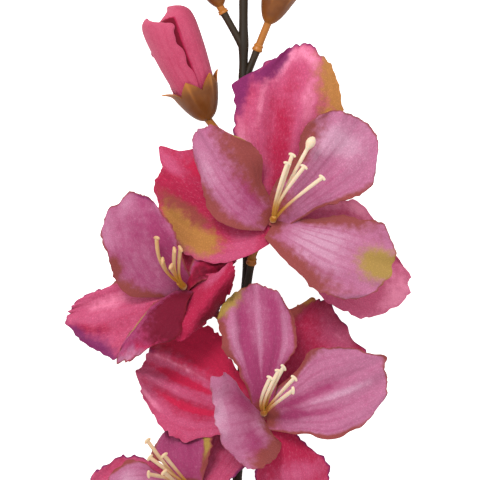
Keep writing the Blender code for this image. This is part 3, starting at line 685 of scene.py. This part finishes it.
# %% Group: dyed silk, with painted sheen and shade
DYED_VEINS = 9
silk_dye_and_painted_light, given, result = group(
    "silk_dye_and_painted_light",
    [("Ground", "Color", (0.4, 0.1, 0.2, 1)), ("Pale", "Color", (0.7, 0.4, 0.5, 1)),
     ("Deep", "Color", (0.3, 0.03, 0.12, 1)), ("Brown", "Color", (0.2, 0.05, 0.03, 1)),
     ("Gold", "Color", (0.4, 0.2, 0.03, 1)), ("Purple", "Color", (0.12, 0.015, 0.09, 1)),
     ("Crimson", "Color", (0.15, 0.003, 0.012, 1)), ("Vein depth", "Float", 0.35)],
    [("Color", "Color", None)])
tree = silk_dye_and_painted_light
flat = kept(tree, "cut")["Vector"]
marks = kept(tree, "dye_and_painted_shade")
split = add(tree, "ShaderNodeSeparateXYZ", {0: kept(tree, "place")["Vector"]}).outputs
creep = noise(tree, flat, 0.4, 6)
cloud = noise(tree, flat, 0.1, 3)
tone = sums(tree, "ADD", split[2], sums(tree, "MULTIPLY_ADD", cloud, 0.9, -0.45))
tone = sums(tree, "ADD", tone, sums(tree, "MULTIPLY_ADD", creep, 0.5, -0.25))
colour = blend_colours(tree, within(tree, tone, 0.0, 1.0), given["Ground"], given["Deep"])
colour = blend_colours(tree, within(tree, tone, 0.0, -0.9), colour, given["Pale"])
bowed = sums(tree, "MULTIPLY_ADD", creep, 0.03, split[0])
waves = sums(tree, "SINE", sums(tree, "MULTIPLY", bowed, TAU * DYED_VEINS))
lines = within(tree, waves, 0.2, 1)
lines = sums(tree, "MULTIPLY", lines, within(tree, split[1], 1, 0.4))
veins_and_claw = sums(tree, "MAXIMUM", lines, within(tree, split[1], 0.3, 0.05))
colour = blend_partly(tree, given["Vein depth"], veins_and_claw, colour, given["Deep"])
# Painted satin sheen: a fine speckle a little towards Pale and a little towards Deep.
stretched = add(tree, "ShaderNodeVectorMath", {0: flat, 1: (1.6, 0.5, 1)}, operation="MULTIPLY")
painted_sheen_speckle = noise(tree, stretched.outputs[0], 1, 3, 0.7)
colour = blend_partly(tree, 0.35, within(tree, painted_sheen_speckle, 0.5, 0.85), colour, given["Pale"])
colour = blend_partly(tree, 0.4, within(tree, painted_sheen_speckle, 0.5, 0.2), colour, given["Deep"])
colour = blend_partly(tree, 0.7, kept(tree, "back")["Fac"], colour, given["Deep"])
tips = add(tree, "ShaderNodeSeparateColor", {0: marks["Color"]}).outputs
ragged = sums(tree, "MULTIPLY_ADD", creep, 0.7, -0.35)
# Where the tone runs past 0.8, crimson goes towards almost black: painted deep shade in hollows and under
# other petals.
painted_shade_share = within(tree, tone, 0.8, 1.5)
crimson_in_painted_shade = blend_colours(tree, painted_shade_share, given["Crimson"], (0.13, 0.001, 0.01, 1))
for amount, dye_and_painted_shade in ((tips[2], given["Purple"]), (tips[0], given["Brown"]), (tips[1], given["Gold"]),
                    (marks["Alpha"], crimson_in_painted_shade)):
    wet = within(tree, sums(tree, "ADD", amount, ragged), 0.12, 0.7)
    colour = blend_partly(tree, 0.93, wet, colour, dye_and_painted_shade)
tree.links.new(colour, result["Color"])

# %% [markdown]
# ## Satin weave
# Fine threads cross at right angles in the flat cloth, so the weave is drawn in the flat cut and not
# in the bent petal. It gives a height for the bump and a glint where a thread catches the light.

# %% Group: satin weave
silk_weave, given, result = group(
    "silk_weave", [("Threads per mm", "Float", 2.2)], [("Height", "Float", None), ("Glint", "Float", None)])
tree = silk_weave
scaling = {0: kept(tree, "cut")["Vector"], "Scale": given["Threads per mm"]}
thread = add(tree, "ShaderNodeVectorMath", scaling, operation="SCALE").outputs[0]
crossing = add(tree, "ShaderNodeSeparateXYZ", {0: thread}).outputs
warp = sums(tree, "SINE", sums(tree, "MULTIPLY", crossing[0], TAU))
weft = sums(tree, "SINE", sums(tree, "MULTIPLY", crossing[1], TAU))
slub = noise(tree, thread, 0.9, 3)
woven = sums(tree, "MULTIPLY", warp, weft)
tree.links.new(sums(tree, "MULTIPLY_ADD", slub, 2.0, woven), result["Height"])
tree.links.new(within(tree, slub, 0.45, 0.75), result["Glint"])


# %% Silk materials
WEAVE_DEPTH = 0.0002


def silk(name, ground, pale, deep, gold, vein_depth):
    finish, tree, shader = new_material(name)
    colour = use(tree, silk_dye_and_painted_light, {
        "Ground": ground, "Pale": pale, "Deep": deep, "Vein depth": vein_depth,
        "Gold": gold, "Brown": (0.24, 0.05, 0.035, 1), "Purple": (0.17, 0.015, 0.095, 1),
        "Crimson": (0.5, 0.012, 0.055, 1)})["Color"]
    woven = use(tree, silk_weave)
    # The glint also lightens the base colour: a painted glint.
    glint = sums(tree, "MULTIPLY", woven["Glint"], 0.3)
    lit = blend_colours(tree, glint, colour, (1, 1, 1, 1), "OVERLAY")
    plug(tree, shader, {
        "Base Color": lit, "Roughness": sums(tree, "MULTIPLY_ADD", woven["Glint"], -0.12, 0.5),
        "Normal": bump(tree, woven["Height"], 0.35, WEAVE_DEPTH), "Specular IOR Level": 0.3,
        "Specular Tint": (1, 0.35, 0.5, 1), "Sheen Weight": 0.06, "Sheen Roughness": 0.4,
        "Sheen Tint": (1, 0.55, 0.7, 1)})
    return finish


# Pink Pale is set bright, partly as painted light for the outer petal of bloom a that slopes away from the
# light.
pink_silk = silk(
    "deep_pink_silk", ground=(0.49, 0.075, 0.165, 1), pale=(0.82, 0.24, 0.38, 1),
    deep=(0.38, 0.012, 0.052, 1), gold=(0.41, 0.19, 0.04, 1), vein_depth=0.22)
mauve_silk = silk(
    "mauve_silk", ground=(0.44, 0.145, 0.255, 1), pale=(0.54, 0.275, 0.39, 1),
    deep=(0.31, 0.04, 0.125, 1), gold=(0.36, 0.24, 0.045, 1), vein_depth=0.34)
print("silk finishes:", pink_silk.name, mauve_silk.name)

# %% [markdown]
# ## Moulded plastic
# Stamens, calyx cups, pegs and stem are soft plastic from a mould. Each has a tint that changes along
# its length, kept as one number per point, and a faint grain. Thin amber edges look paler, because
# light comes through them.

# %% Group: plastic grain
plastic_grain, given, result = group(
    "plastic_grain", [("Scale", "Float", 900.0), ("Stretch", "Float", 1.0)],
    [("Height", "Float", None), ("Cloud", "Float", None)])
tree = plastic_grain
room = add(tree, "ShaderNodeTexCoord").outputs["Object"]
long = add(tree, "ShaderNodeCombineXYZ", {0: 1.0, 2: 1.0})
tree.links.new(given["Stretch"], long.inputs[1])
drawn = add(tree, "ShaderNodeVectorMath", {0: room, 1: long.outputs[0]}, operation="MULTIPLY")
fine = noise(tree, drawn.outputs[0], given["Scale"], 4)
broad = noise(tree, drawn.outputs[0], sums(tree, "MULTIPLY", given["Scale"], 0.25), 2)
tree.links.new(fine, result["Height"])
tree.links.new(broad, result["Cloud"])


# %% Plastic materials
GRAIN_DEPTH = 0.0002


def plastic(name, near, far, roughness, more, grain=900.0, stretch=1.0, mottle=0.3):
    """near and far are the colours at tint 0 and 1; more holds other inputs of the shader."""
    finish, tree, shader = new_material(name)
    rough = use(tree, plastic_grain, {"Scale": grain, "Stretch": stretch})
    mottling = sums(tree, "MULTIPLY_ADD", rough["Cloud"], mottle, -mottle / 2)
    tint = within(tree, sums(tree, "ADD", kept(tree, "tint")["Fac"], mottling), 0, 1)
    plug(tree, shader, {
        "Base Color": blend_colours(tree, tint, near, far),
        "Roughness": sums(tree, "MULTIPLY_ADD", rough["Cloud"], 0.2, roughness - 0.1),
        "Normal": bump(tree, rough["Height"], 0.3, GRAIN_DEPTH), **more})
    return finish


cream_plastic = plastic("cream_plastic", (0.5, 0.22, 0.02, 1), (0.76, 0.6, 0.42, 1), 0.42,
                        {"Subsurface Weight": 0.2, "Subsurface Scale": 0.001})
amber_plastic = plastic("amber_plastic", (0.13, 0.032, 0.005, 1), (0.48, 0.17, 0.026, 1), 0.36,
                        {"Specular IOR Level": 0.35})
bark_plastic = plastic("dark_stem_plastic", (0.008, 0.005, 0.002, 1), (0.05, 0.03, 0.014, 1), 0.5,
                       {"Specular IOR Level": 0.3}, grain=700.0, stretch=0.12, mottle=1.2)
print("plastic finishes:", cream_plastic.name, amber_plastic.name, bark_plastic.name)

# %% [markdown]
# ## Tubes
# Stem, pegs and stamen threads are round rods. A curve with a bevel is the plain way to make one: its
# points carry the radius, and Blender keeps the section square to the line.


# %% Making a rod
def rod(name, points, radii, tints, sides=4):
    """A round rod through points in millimetres, with one tint or a tint for each point."""
    curve = bpy.data.curves.new(name, "CURVE")
    curve.dimensions = "3D"
    curve.bevel_depth = MM
    curve.bevel_resolution = sides
    curve.use_fill_caps = True
    spline = curve.splines.new("POLY")
    spline.points.add(len(points) - 1)
    for knot, place, radius in zip(spline.points, in_frame(points), radii):
        knot.co = (*place, 1)
        knot.radius = radius
    piece = settled(show(name, curve), name)
    corners = np.array([v.co for v in piece.data.vertices])
    nearest = np.linalg.norm(corners[:, None] - in_frame(points)[None], axis=2).argmin(1)
    keep_values(piece.data, "tint", "FLOAT", np.broadcast_to(tints, len(points))[nearest])
    return piece


HUB_DYE = (0.8, 0, 0, 0)


def disc(name, middle, axis, radius, thickness):
    """A round disc from middle along axis, as a very short rod with a rounded rim, dyed brown."""
    level = np.array([0, 0.12, 0.88, 1]) * thickness
    wide = np.array([0.9, 1, 1, 0.9]) * radius
    made = rod(name, middle + axis * level[:, None], wide, 0.5, sides=10)
    count = len(made.data.vertices)
    keep_values(made.data, "dye_and_painted_shade", "FLOAT_COLOR", np.tile(HUB_DYE, (count, 1)))
    return made


# %% [markdown]
# ## The blooms
# Each whorl is three petals and the small disc that they were punched with. They become one piece,
# which stands for one solid. Seeds are counted from the petal's place, so a rerun gives the same edge.

# %% Whorls of petals
HUB = {"outer": (-0.3, 4.2, 0.7), "inner": (1.2, 2.4, 0.7)}
FINISH = {"outer": (pink_silk, "deep_pink_silk"), "inner": (mauve_silk, "mauve_silk")}
for number, (name, bloom) in enumerate(BLOOMS.items()):
    throat, axis = seat_of(bloom, "throat")
    for layer in ("outer", "inner"):
        level, radius, thickness = HUB[layer]
        pieces = []
        for index, petal in enumerate(getattr(bloom, layer)):
            seed = 100 * number + 10 * (layer == "inner") + index + 1
            look = look_of(name, layer, index)
            pieces.append(petal_cloth(f"petal_{seed}", petal, look, layer, throat, axis, seed))
        pieces.append(disc("hub", throat + axis * level, axis, radius, thickness))
        whorl = join(f"bloom_{name}_{layer}_silk", pieces)
        dress(whorl, *FINISH[layer], f"bloom_{name}_{layer}_tepals")
    print("bloom", name, "whorls:", len(whorl.data.polygons), "faces in the inner one")

# %% [markdown]
# ## Stamens
# Five soft threads rise from a seat in the throat and end in a small cross bar, like a T. They are
# golden at the root and pale cream at the tip. Real ones come off the mould slightly bent, so each
# follows its own curve. One of bloom a's ends in a thick bulb instead of a bar.

# %% Stamens of each bloom
STAMEN_LEVEL = 3.0
SEAT_HEIGHT = 4.5
THREAD_RADIUS = 0.66
BAR_HALF = 1.6
BAR_RADIUS = 0.7
BULB_TIP = 16.8
BULB_RADII = (0.8, 1, 1.4, 1.8, 2, 2, 1.8, 1.4, 0.6)
PALEST = {"a": 0.95, "b": 0.4, "c": 1.0, "d": 0.6, "e": 0.9}
for number, (name, bloom) in enumerate(BLOOMS.items()):
    throat, axis = seat_of(bloom, "throat")
    base = throat + axis * STAMEN_LEVEL
    middle = base + axis * SEAT_HEIGHT / 2
    line = [base, base + axis * 0.6, middle, base + axis * SEAT_HEIGHT]
    pieces = [rod("seat", line, (1.5, 1.5, 1.3, 0.9), (0.5, 0.4, 0.1, 0), sides=6)]
    dice = np.random.RandomState(700 + number)
    spread = np.mean([tip[0] for tip in bloom.stamens])
    for tip in bloom.stamens:
        end = throat + np.array(tip, float)
        lean = (end - base) - axis * (end - base).dot(axis)
        root = middle + unit(lean) * 0.9 - axis
        reach = np.linalg.norm(end - root)
        bow = np.array([0.35 * (tip[0] - spread) - 1.5, 0, 0])
        elbow = root + axis * reach * 0.45 + bow + dice.uniform(-2, 2, 3)
        steps = np.linspace(0, 1, 14)
        line, heading = bend(root, elbow, end, steps)
        wide = THREAD_RADIUS + 0.2 * ramp(0.5, 0.9, steps) + 0.2 * (1 - ramp(0, 0.3, steps))
        pieces.append(rod("thread", line, wide, PALEST[name] * ramp(0.15, 0.85, steps)))
        if tip[0] == BULB_TIP:
            bulb = end + heading[-1] * np.linspace(-5, 1.2, 9)[:, None]
            pieces.append(rod("bulb", bulb, BULB_RADII, 1.0, sides=5))
            continue
        bar = unit(np.cross(heading[-1], axis) + dice.uniform(-0.3, 0.3, 3))
        u = np.linspace(-1, 1, 9)
        arc = end + bar * u[:, None] * BAR_HALF - heading[-1] * (0.35 * u**2)[:, None]
        pieces.append(rod("bar", arc, BAR_RADIUS - 0.3 * u**4, PALEST[name]))
    stamens = join(f"bloom_{name}_stamen_comb", pieces)
    dress(stamens, cream_plastic, "cream_plastic", f"bloom_{name}_stamens")
print("stamen combs:", len(BLOOMS))

# %% [markdown]
# ## Calyx cups and pegs
# Behind each bloom and round each bud sits a thin amber cup that ends in pointed lobes. It is one
# surface of revolution whose rim is drawn up into points, with a keel up the middle of each lobe. A
# peg with a collar joins it to the dark side branch.

# %% Shapes shared by cups and pegs
CLEARANCE = 0.3
PEG_RADIUS = 1.6
COLLAR_RADIUS = 2.3
COLLAR_LENGTH = 3
BRANCH_RADIUS = 1.5
CUP_WALL = 0.6
LOBES = 6
CUP_RIM = 0.66
CUP_THROAT = 1.2
LOBE_TURN = 0.04
STEM_ROUTE = [(0, 0, 2.12), (0, 35, 2.12), (-0.3, 72, 2.12), (-1.5, 130, 3.6), (-2.6, 200, 8),
              (-2.4, 290, 12), (1.7, 380, 12.5), (0.6, 430, 12.5), (0.2, 472, 12), (0.6, 520, 10),
              (3, 566, 7)]


def spokes(axis, turns):
    """Directions square to axis, at turns counted from its right side upwards."""
    aside = unit(np.cross(axis, (0, 0, 1)))
    ahead = np.cross(aside, axis)
    return aside * np.cos(turns * TAU)[..., None] + ahead * np.sin(turns * TAU)[..., None]


def stem_middle(y):
    """The stem's middle at the distance y from its foot."""
    route = np.array(STEM_ROUTE, float)
    step = np.interp(y, route[:, 1], np.arange(len(route)))
    return through(route, np.atleast_1d(step / (len(route) - 1)))[0]


def side_branch(fork, towards, share, lean=(0, 0, 0)):
    root = stem_middle(fork)
    heading = unit(unit(towards - root) + np.array(lean, float))
    return root, root + heading * np.linalg.norm(towards - root) * share, heading


def peg(end, heading, base, top):
    """A peg from the branch's end to the cup, with its collar."""
    start = end - heading * 0.4
    reach = np.linalg.norm(base - start)
    inside = start + heading * min(COLLAR_LENGTH, reach / 2)
    curve = bend(inside, start + heading * reach / 2, base, np.linspace(0, 1, 8))[0]
    line = np.concatenate([[start], curve, [top]])
    wide = [PEG_RADIUS] * 9 + [PEG_RADIUS * 1.2]
    rim = start + (inside - start) * np.linspace(0, 1, 7)[:, None]
    swell = COLLAR_RADIUS * np.array([0.86, 1.0, 0.98, 0.88, 0.84, 0.94, 0.78])
    return [rod("peg", line, wide, 0.75, sides=5), rod("collar", rim, swell, 0.95, sides=6)]


def cup(name, base, axis, wide_at, height, lobe, splay=(0,)):
    """A cup with pointed lobes; wide_at gives its radius up the axis, splay bends single lobes out."""
    mesh, s, t = grid(name, LOBES * 16, 26)
    pointed = 1 - np.abs((s * LOBES) % 1 - 0.5) * 2
    past = np.maximum(0, t - CUP_RIM) / (1 - CUP_RIM)
    level = height * np.minimum(t / CUP_RIM, 1) + lobe * pointed**0.85 * past
    which = np.floor(s * LOBES).astype(int) % LOBES
    out = np.array([splay[k % len(splay)] for k in range(LOBES)])[which] * (pointed * past) ** 2
    keel = 0.25 * np.exp(-(((pointed - 1) / 0.12) ** 2)) * ramp(0.3, 0.8, t)
    wide = np.maximum(wide_at(level), CUP_THROAT) + out + keel
    points = base + axis * (level - out * 0.4)[:, None] + spokes(axis, s + LOBE_TURN) * wide[:, None]
    move_to(mesh, points)
    # Paler at the lobe tips, as painted light coming through the thin plastic; paler along each keel, as a
    # painted highlight on the ridge; and paler near the foot.
    pale = 0.25 + 0.5 * past * pointed + 0.35 * keel / 0.25 + 0.3 * (1 - ramp(0, 0.25, t))
    keep_values(mesh, "tint", "FLOAT", pale)
    source = show(name, mesh)
    close_seam(source)
    shell = source.modifiers.new("wall", "SOLIDIFY")
    shell.thickness = CUP_WALL * MM
    shell.offset = 0
    return settled(source, name)


# %% Cups behind the blooms
BLOOM_CUP_DEPTH = 13
BLOOM_CUP_RADIUS, BLOOM_CUP_HEIGHT, BLOOM_LOBE = 4.3, 9.4, 1.6
forks = []


def bloom_cup_radius(level):
    rise = np.clip(level / BLOOM_CUP_DEPTH, 0, 1)
    return BLOOM_CUP_RADIUS * np.sin(rise * math.pi / 2) ** 0.8


for name, bloom in BLOOMS.items():
    throat, axis = seat_of(bloom, "throat")
    base = throat - axis * BLOOM_CUP_DEPTH
    root, end, heading = side_branch(bloom.fork, base, 0.5, bloom.lean)
    forks.append((root, end))
    shape = cup("cup", base, axis, bloom_cup_radius, BLOOM_CUP_HEIGHT, BLOOM_LOBE)
    calyx = join(f"bloom_{name}_calyx_cup", [shape] + peg(end, heading, base, throat - axis * CLEARANCE))
    dress(calyx, amber_plastic, "amber_plastic", f"bloom_{name}_calyx")
print("calyx cups behind blooms:", len(forks))

# %% [markdown]
# ## Buds
# A bud is three petals rolled round each other. Each is a sheet bent round the bud's axis. One long
# edge lies free on top, with a wavy line, and the other is tucked under the next petal. The tips are
# round and leave a notch where two of them meet. A crimson core inside shows between them, darkened
# almost to black as painted shade, and each petal darkens the same way near its tucked edge.

# %% Wrapped petals and their cups
BUD_SEAT = 3
SEAM = 0.22
WRAP = 1 / 3 + 0.1
PETAL_TOPS = (0.98, 0.88, 1.0)
PETAL_LEANS = (0.65, 0.5, 0.2)
CORE_LENGTH = 0.86
CORE_GIRTH = 0.84
BUD_CUP_SHARE = 0.27
BUD_LOBE_SHARE = 0.12
BUD_SPLAY = (0.05, 0.02, 0.3, 0.1, 0, 0.12)


def dome(way):
    """1 along the petal and falling to 0 at its very end, as a rounded tip does."""
    return np.sqrt(1 - np.clip(way, 0, 0.9995) ** 16)


def bud_girth(bud, way):
    way = np.clip(way, 0, 1)
    belly = 1 - 0.5 * (1 - way) ** 2
    return bud.radius * belly * np.sin(math.pi / 2 * np.minimum(1, way / 0.25)) ** 0.6 * dome(way)


def bud_petal(name, bud, base, axis, turn, height, lean, seed):
    """One petal of a bud whose free edge lies at turn, counted from the right in full turns."""
    dice = np.random.RandomState(seed)
    mesh, s, t = grid(name, 40, 56)
    s = s - 0.06 * np.sin(TAU * s)
    free = (1 - s) ** 4
    wave = 0.02 * soft_line(dice, 18, t * 17) * ramp(0.05, 0.3, t) * (1 - ramp(0.7, 0.95, t))
    turns = turn + WRAP * s + (wave + 0.02 * t + 0.07 * ramp(0.7, 1, t)) * free
    way = 0.02 + 0.98 * (1 - (1 - t) ** 1.8)
    top = height * (1 - 0.06 * np.abs(s * 2 - 0.9) ** 2 * ramp(0.5, 1, t))
    girth = bud_girth(bud, way) * (1.04 - 0.13 * s)
    girth = girth + bud.radius * 0.03 * soft_line(dice, 8, s * 7) * np.sin(math.pi * t)
    girth = girth - bud.radius * 0.05 * np.exp(-s / 0.02) * ramp(0.1, 0.4, t)
    up = axis * (BUD_SEAT + bud.length * top * way)[:, None]
    drift = spokes(axis, turn + WRAP * 0.45) * (lean * bud.radius * (1 - dome(way)))[:, None]
    points = base + up + spokes(axis, turns) * girth[:, None] + drift
    points[:, 2] = np.maximum(points[:, 2], CLOTH / 2)
    move_to(mesh, points)
    cut = np.stack([s * bud.length, t * bud.length, t * 0], -1)
    amount = np.zeros((len(s), 4))
    # Near its tucked edge the petal turns crimson and its tone goes almost to black: painted shade where it
    # passes under the next petal.
    gap = 0.72 - 0.03 * ramp(0.4, 0.7, t) + 0.4 * ramp(0.72, 0.84, t)
    amount[:, 3] = ramp(0, 1, (s - gap) / 0.08) * ramp(0.1, 0.3, t)
    tone = -0.65 - 0.2 * free * t + np.minimum(2.4, 8 * amount[:, 3])
    keep_look(mesh, s, 0.35 + 0.65 * t, cut, amount, tone, seed)
    return thicken(show(name, mesh), len(s))


def bud_core(name, bud, base, axis):
    """What shows between the petals: a crimson heart of the bud, darkened almost to black as painted shade.
    """
    mesh, s, t = grid(name, 40, 30)
    girth = bud_girth(bud, t) * CORE_GIRTH
    up = axis * (BUD_SEAT + bud.length * CORE_LENGTH * t)[:, None]
    points = base + up + spokes(axis, s) * girth[:, None]
    points[:, 2] = np.maximum(points[:, 2], CLOTH / 2)
    move_to(mesh, points)
    amount = np.zeros((len(s), 4))
    amount[:, 3] = 1
    keep_look(mesh, s, t, np.stack([s, t, s * 0], -1) * bud.length, amount, s * 0 + 1.6, 3)
    keep_values(mesh, "back", "FLOAT", s * 0)
    source = show(name, mesh)
    close_seam(source)
    return settled(source, name)


for number, (name, bud) in enumerate(BUDS.items()):
    base, axis = seat_of(bud, "base")
    pieces = []
    for k, (height, lean) in enumerate(zip(PETAL_TOPS, PETAL_LEANS)):
        seed = 800 + 10 * number + k
        pieces.append(bud_petal(f"{name}_{k}", bud, base, axis, SEAM + k / 3, height, lean, seed))
    pieces.append(bud_core("core", bud, base, axis))
    wrapped = join(f"{name}_silk", pieces)
    dress(wrapped, pink_silk, "deep_pink_silk", f"{name}_tepals")
    root, end, heading = side_branch(bud.fork, base, bud.branch)
    forks.append((root, end))
    height = bud.length * BUD_CUP_SHARE

    def wide_at(level):
        petals = bud_girth(bud, (level - BUD_SEAT) / bud.length) * 1.04
        body = bud.radius * 0.78 * np.clip(level / height, 0, 1) ** 0.45
        return np.maximum(petals + CLEARANCE + CUP_WALL, body)

    shape = cup("cup", base, axis, wide_at, height, bud.length * BUD_LOBE_SHARE,
                [bud.radius * k for k in BUD_SPLAY])
    top = base + axis * (BUD_SEAT - CLEARANCE)
    calyx = join(f"{name}_calyx_cup", [shape] + peg(end, heading, base, top))
    dress(calyx, amber_plastic, "amber_plastic", f"{name}_calyx")
print("buds:", len(BUDS))

# %% [markdown]
# ## The stem
# The stem is one dark rod that tapers to its tip, with a slight swelling where each side branch
# leaves. The branches are short rods that start inside it, so no gap shows at the fork.

# %% Stem and side branches
FOOT_RADIUS, TIP_RADIUS = 2.1, 1.85
FORK_SWELL = 0.35
steps = np.linspace(0, 1, 260)
line = through(np.array(STEM_ROUTE, float), steps)
wide = FOOT_RADIUS + (TIP_RADIUS - FOOT_RADIUS) * line[:, 1] / STEM_ROUTE[-1][1]
for root, end in forks:
    wide = wide + FORK_SWELL * np.exp(-(((line[:, 1] - root[1] - 2) / 4) ** 2))
dice = np.random.RandomState(5)
wide = np.minimum(wide + 0.04 * dice.uniform(-1, 1, len(wide)), line[:, 2])
pieces = [rod("stem_rod", line, wide, 0.45, sides=7)]
for root, end in forks:
    u = np.linspace(0, 1, 10)
    path = root + (end - root) * u[:, None]
    wide = BRANCH_RADIUS * (1.0 + 0.35 * np.exp(-u / 0.2) + 0.12 * ramp(0.8, 1, u))
    pieces.append(rod("branch", path, wide, 0.45 + 0.3 * u, sides=6))
stem = join("stem_rod", pieces)
dress(stem, bark_plastic, "dark_stem_plastic", "stem")
print("side branches:", len(forks))

# %% [markdown]
# ## Table, light and camera
# The stem lies on a plain white table under soft light from above and from the tip's side. The camera
# looks straight down through a long lens, because the picture has almost no perspective. A pixel is
# 0.42 mm, the stem stands in column 243, and the lower edge of the picture is 290 mm from the foot.

# %% Floor
floor = show("floor", grid("floor", 1, 1)[0])
floor.scale = (6, 6, 1)
floor.location = (0, 0, -0.0002)
paper, tree, shader = new_material("white_table")
speck = add(tree, "ShaderNodeTexNoise", {"Scale": 300.0}).outputs[0]
plug(tree, shader, {
    "Base Color": blend_colours(tree, speck, (0.88, 0.88, 0.88, 1), (0.92, 0.92, 0.92, 1)),
    "Roughness": 0.9, "Emission Color": (1, 1, 1, 1),
    "Emission Strength": add(tree, "ShaderNodeLightPath").outputs["Is Camera Ray"]})
floor.data.materials.append(paper)

# %% Lights
ROOM_LIGHT = 0.94
KEY_SIZE, KEY_POWER = 0.5, 8
world = bpy.data.worlds.new("soft_room")
bpy.context.scene.world = world
world.use_nodes = True
tree = world.node_tree
plug(tree, tree.nodes["Background"], {"Color": (1, 1, 1, 1), "Strength": ROOM_LIGHT})


def soft_light(name, place, aim, size, power):
    lamp = bpy.data.lights.new(name, "AREA")
    lamp.shape = "DISK"
    lamp.size = size
    lamp.energy = power
    made = show(name, lamp)
    made.location = place
    made.rotation_mode = "QUATERNION"
    made.rotation_quaternion = (aim - made.location).to_track_quat("-Z", "Y")


# %% Camera
PIXEL = 0.42
PICTURE = 480
STEM_COLUMN = 243
LOWER_EDGE = 290
DISTANCE = 3.0
SENSOR = 36
half = PICTURE // 2
middle = in_frame([(half - STEM_COLUMN) * PIXEL, LOWER_EDGE + half * PIXEL, 30])
camera_data = bpy.data.cameras.new("camera")
camera = show("camera", camera_data)
camera.location = middle + (0, 0, DISTANCE)
camera_data.sensor_width = SENSOR
camera_data.lens = SENSOR * DISTANCE / (PICTURE * PIXEL * MM)
camera_data.clip_start, camera_data.clip_end = 0.1, 20
bpy.context.scene.camera = camera
aim = camera.location.copy()
aim.z = 0.03
soft_light("key", (aim.x - 0.35, aim.y + 0.75, 0.95), aim, KEY_SIZE, KEY_POWER)
bpy.context.scene.view_settings.view_transform = "Standard"
print("lens", round(camera_data.lens), "mm at", DISTANCE, "m")
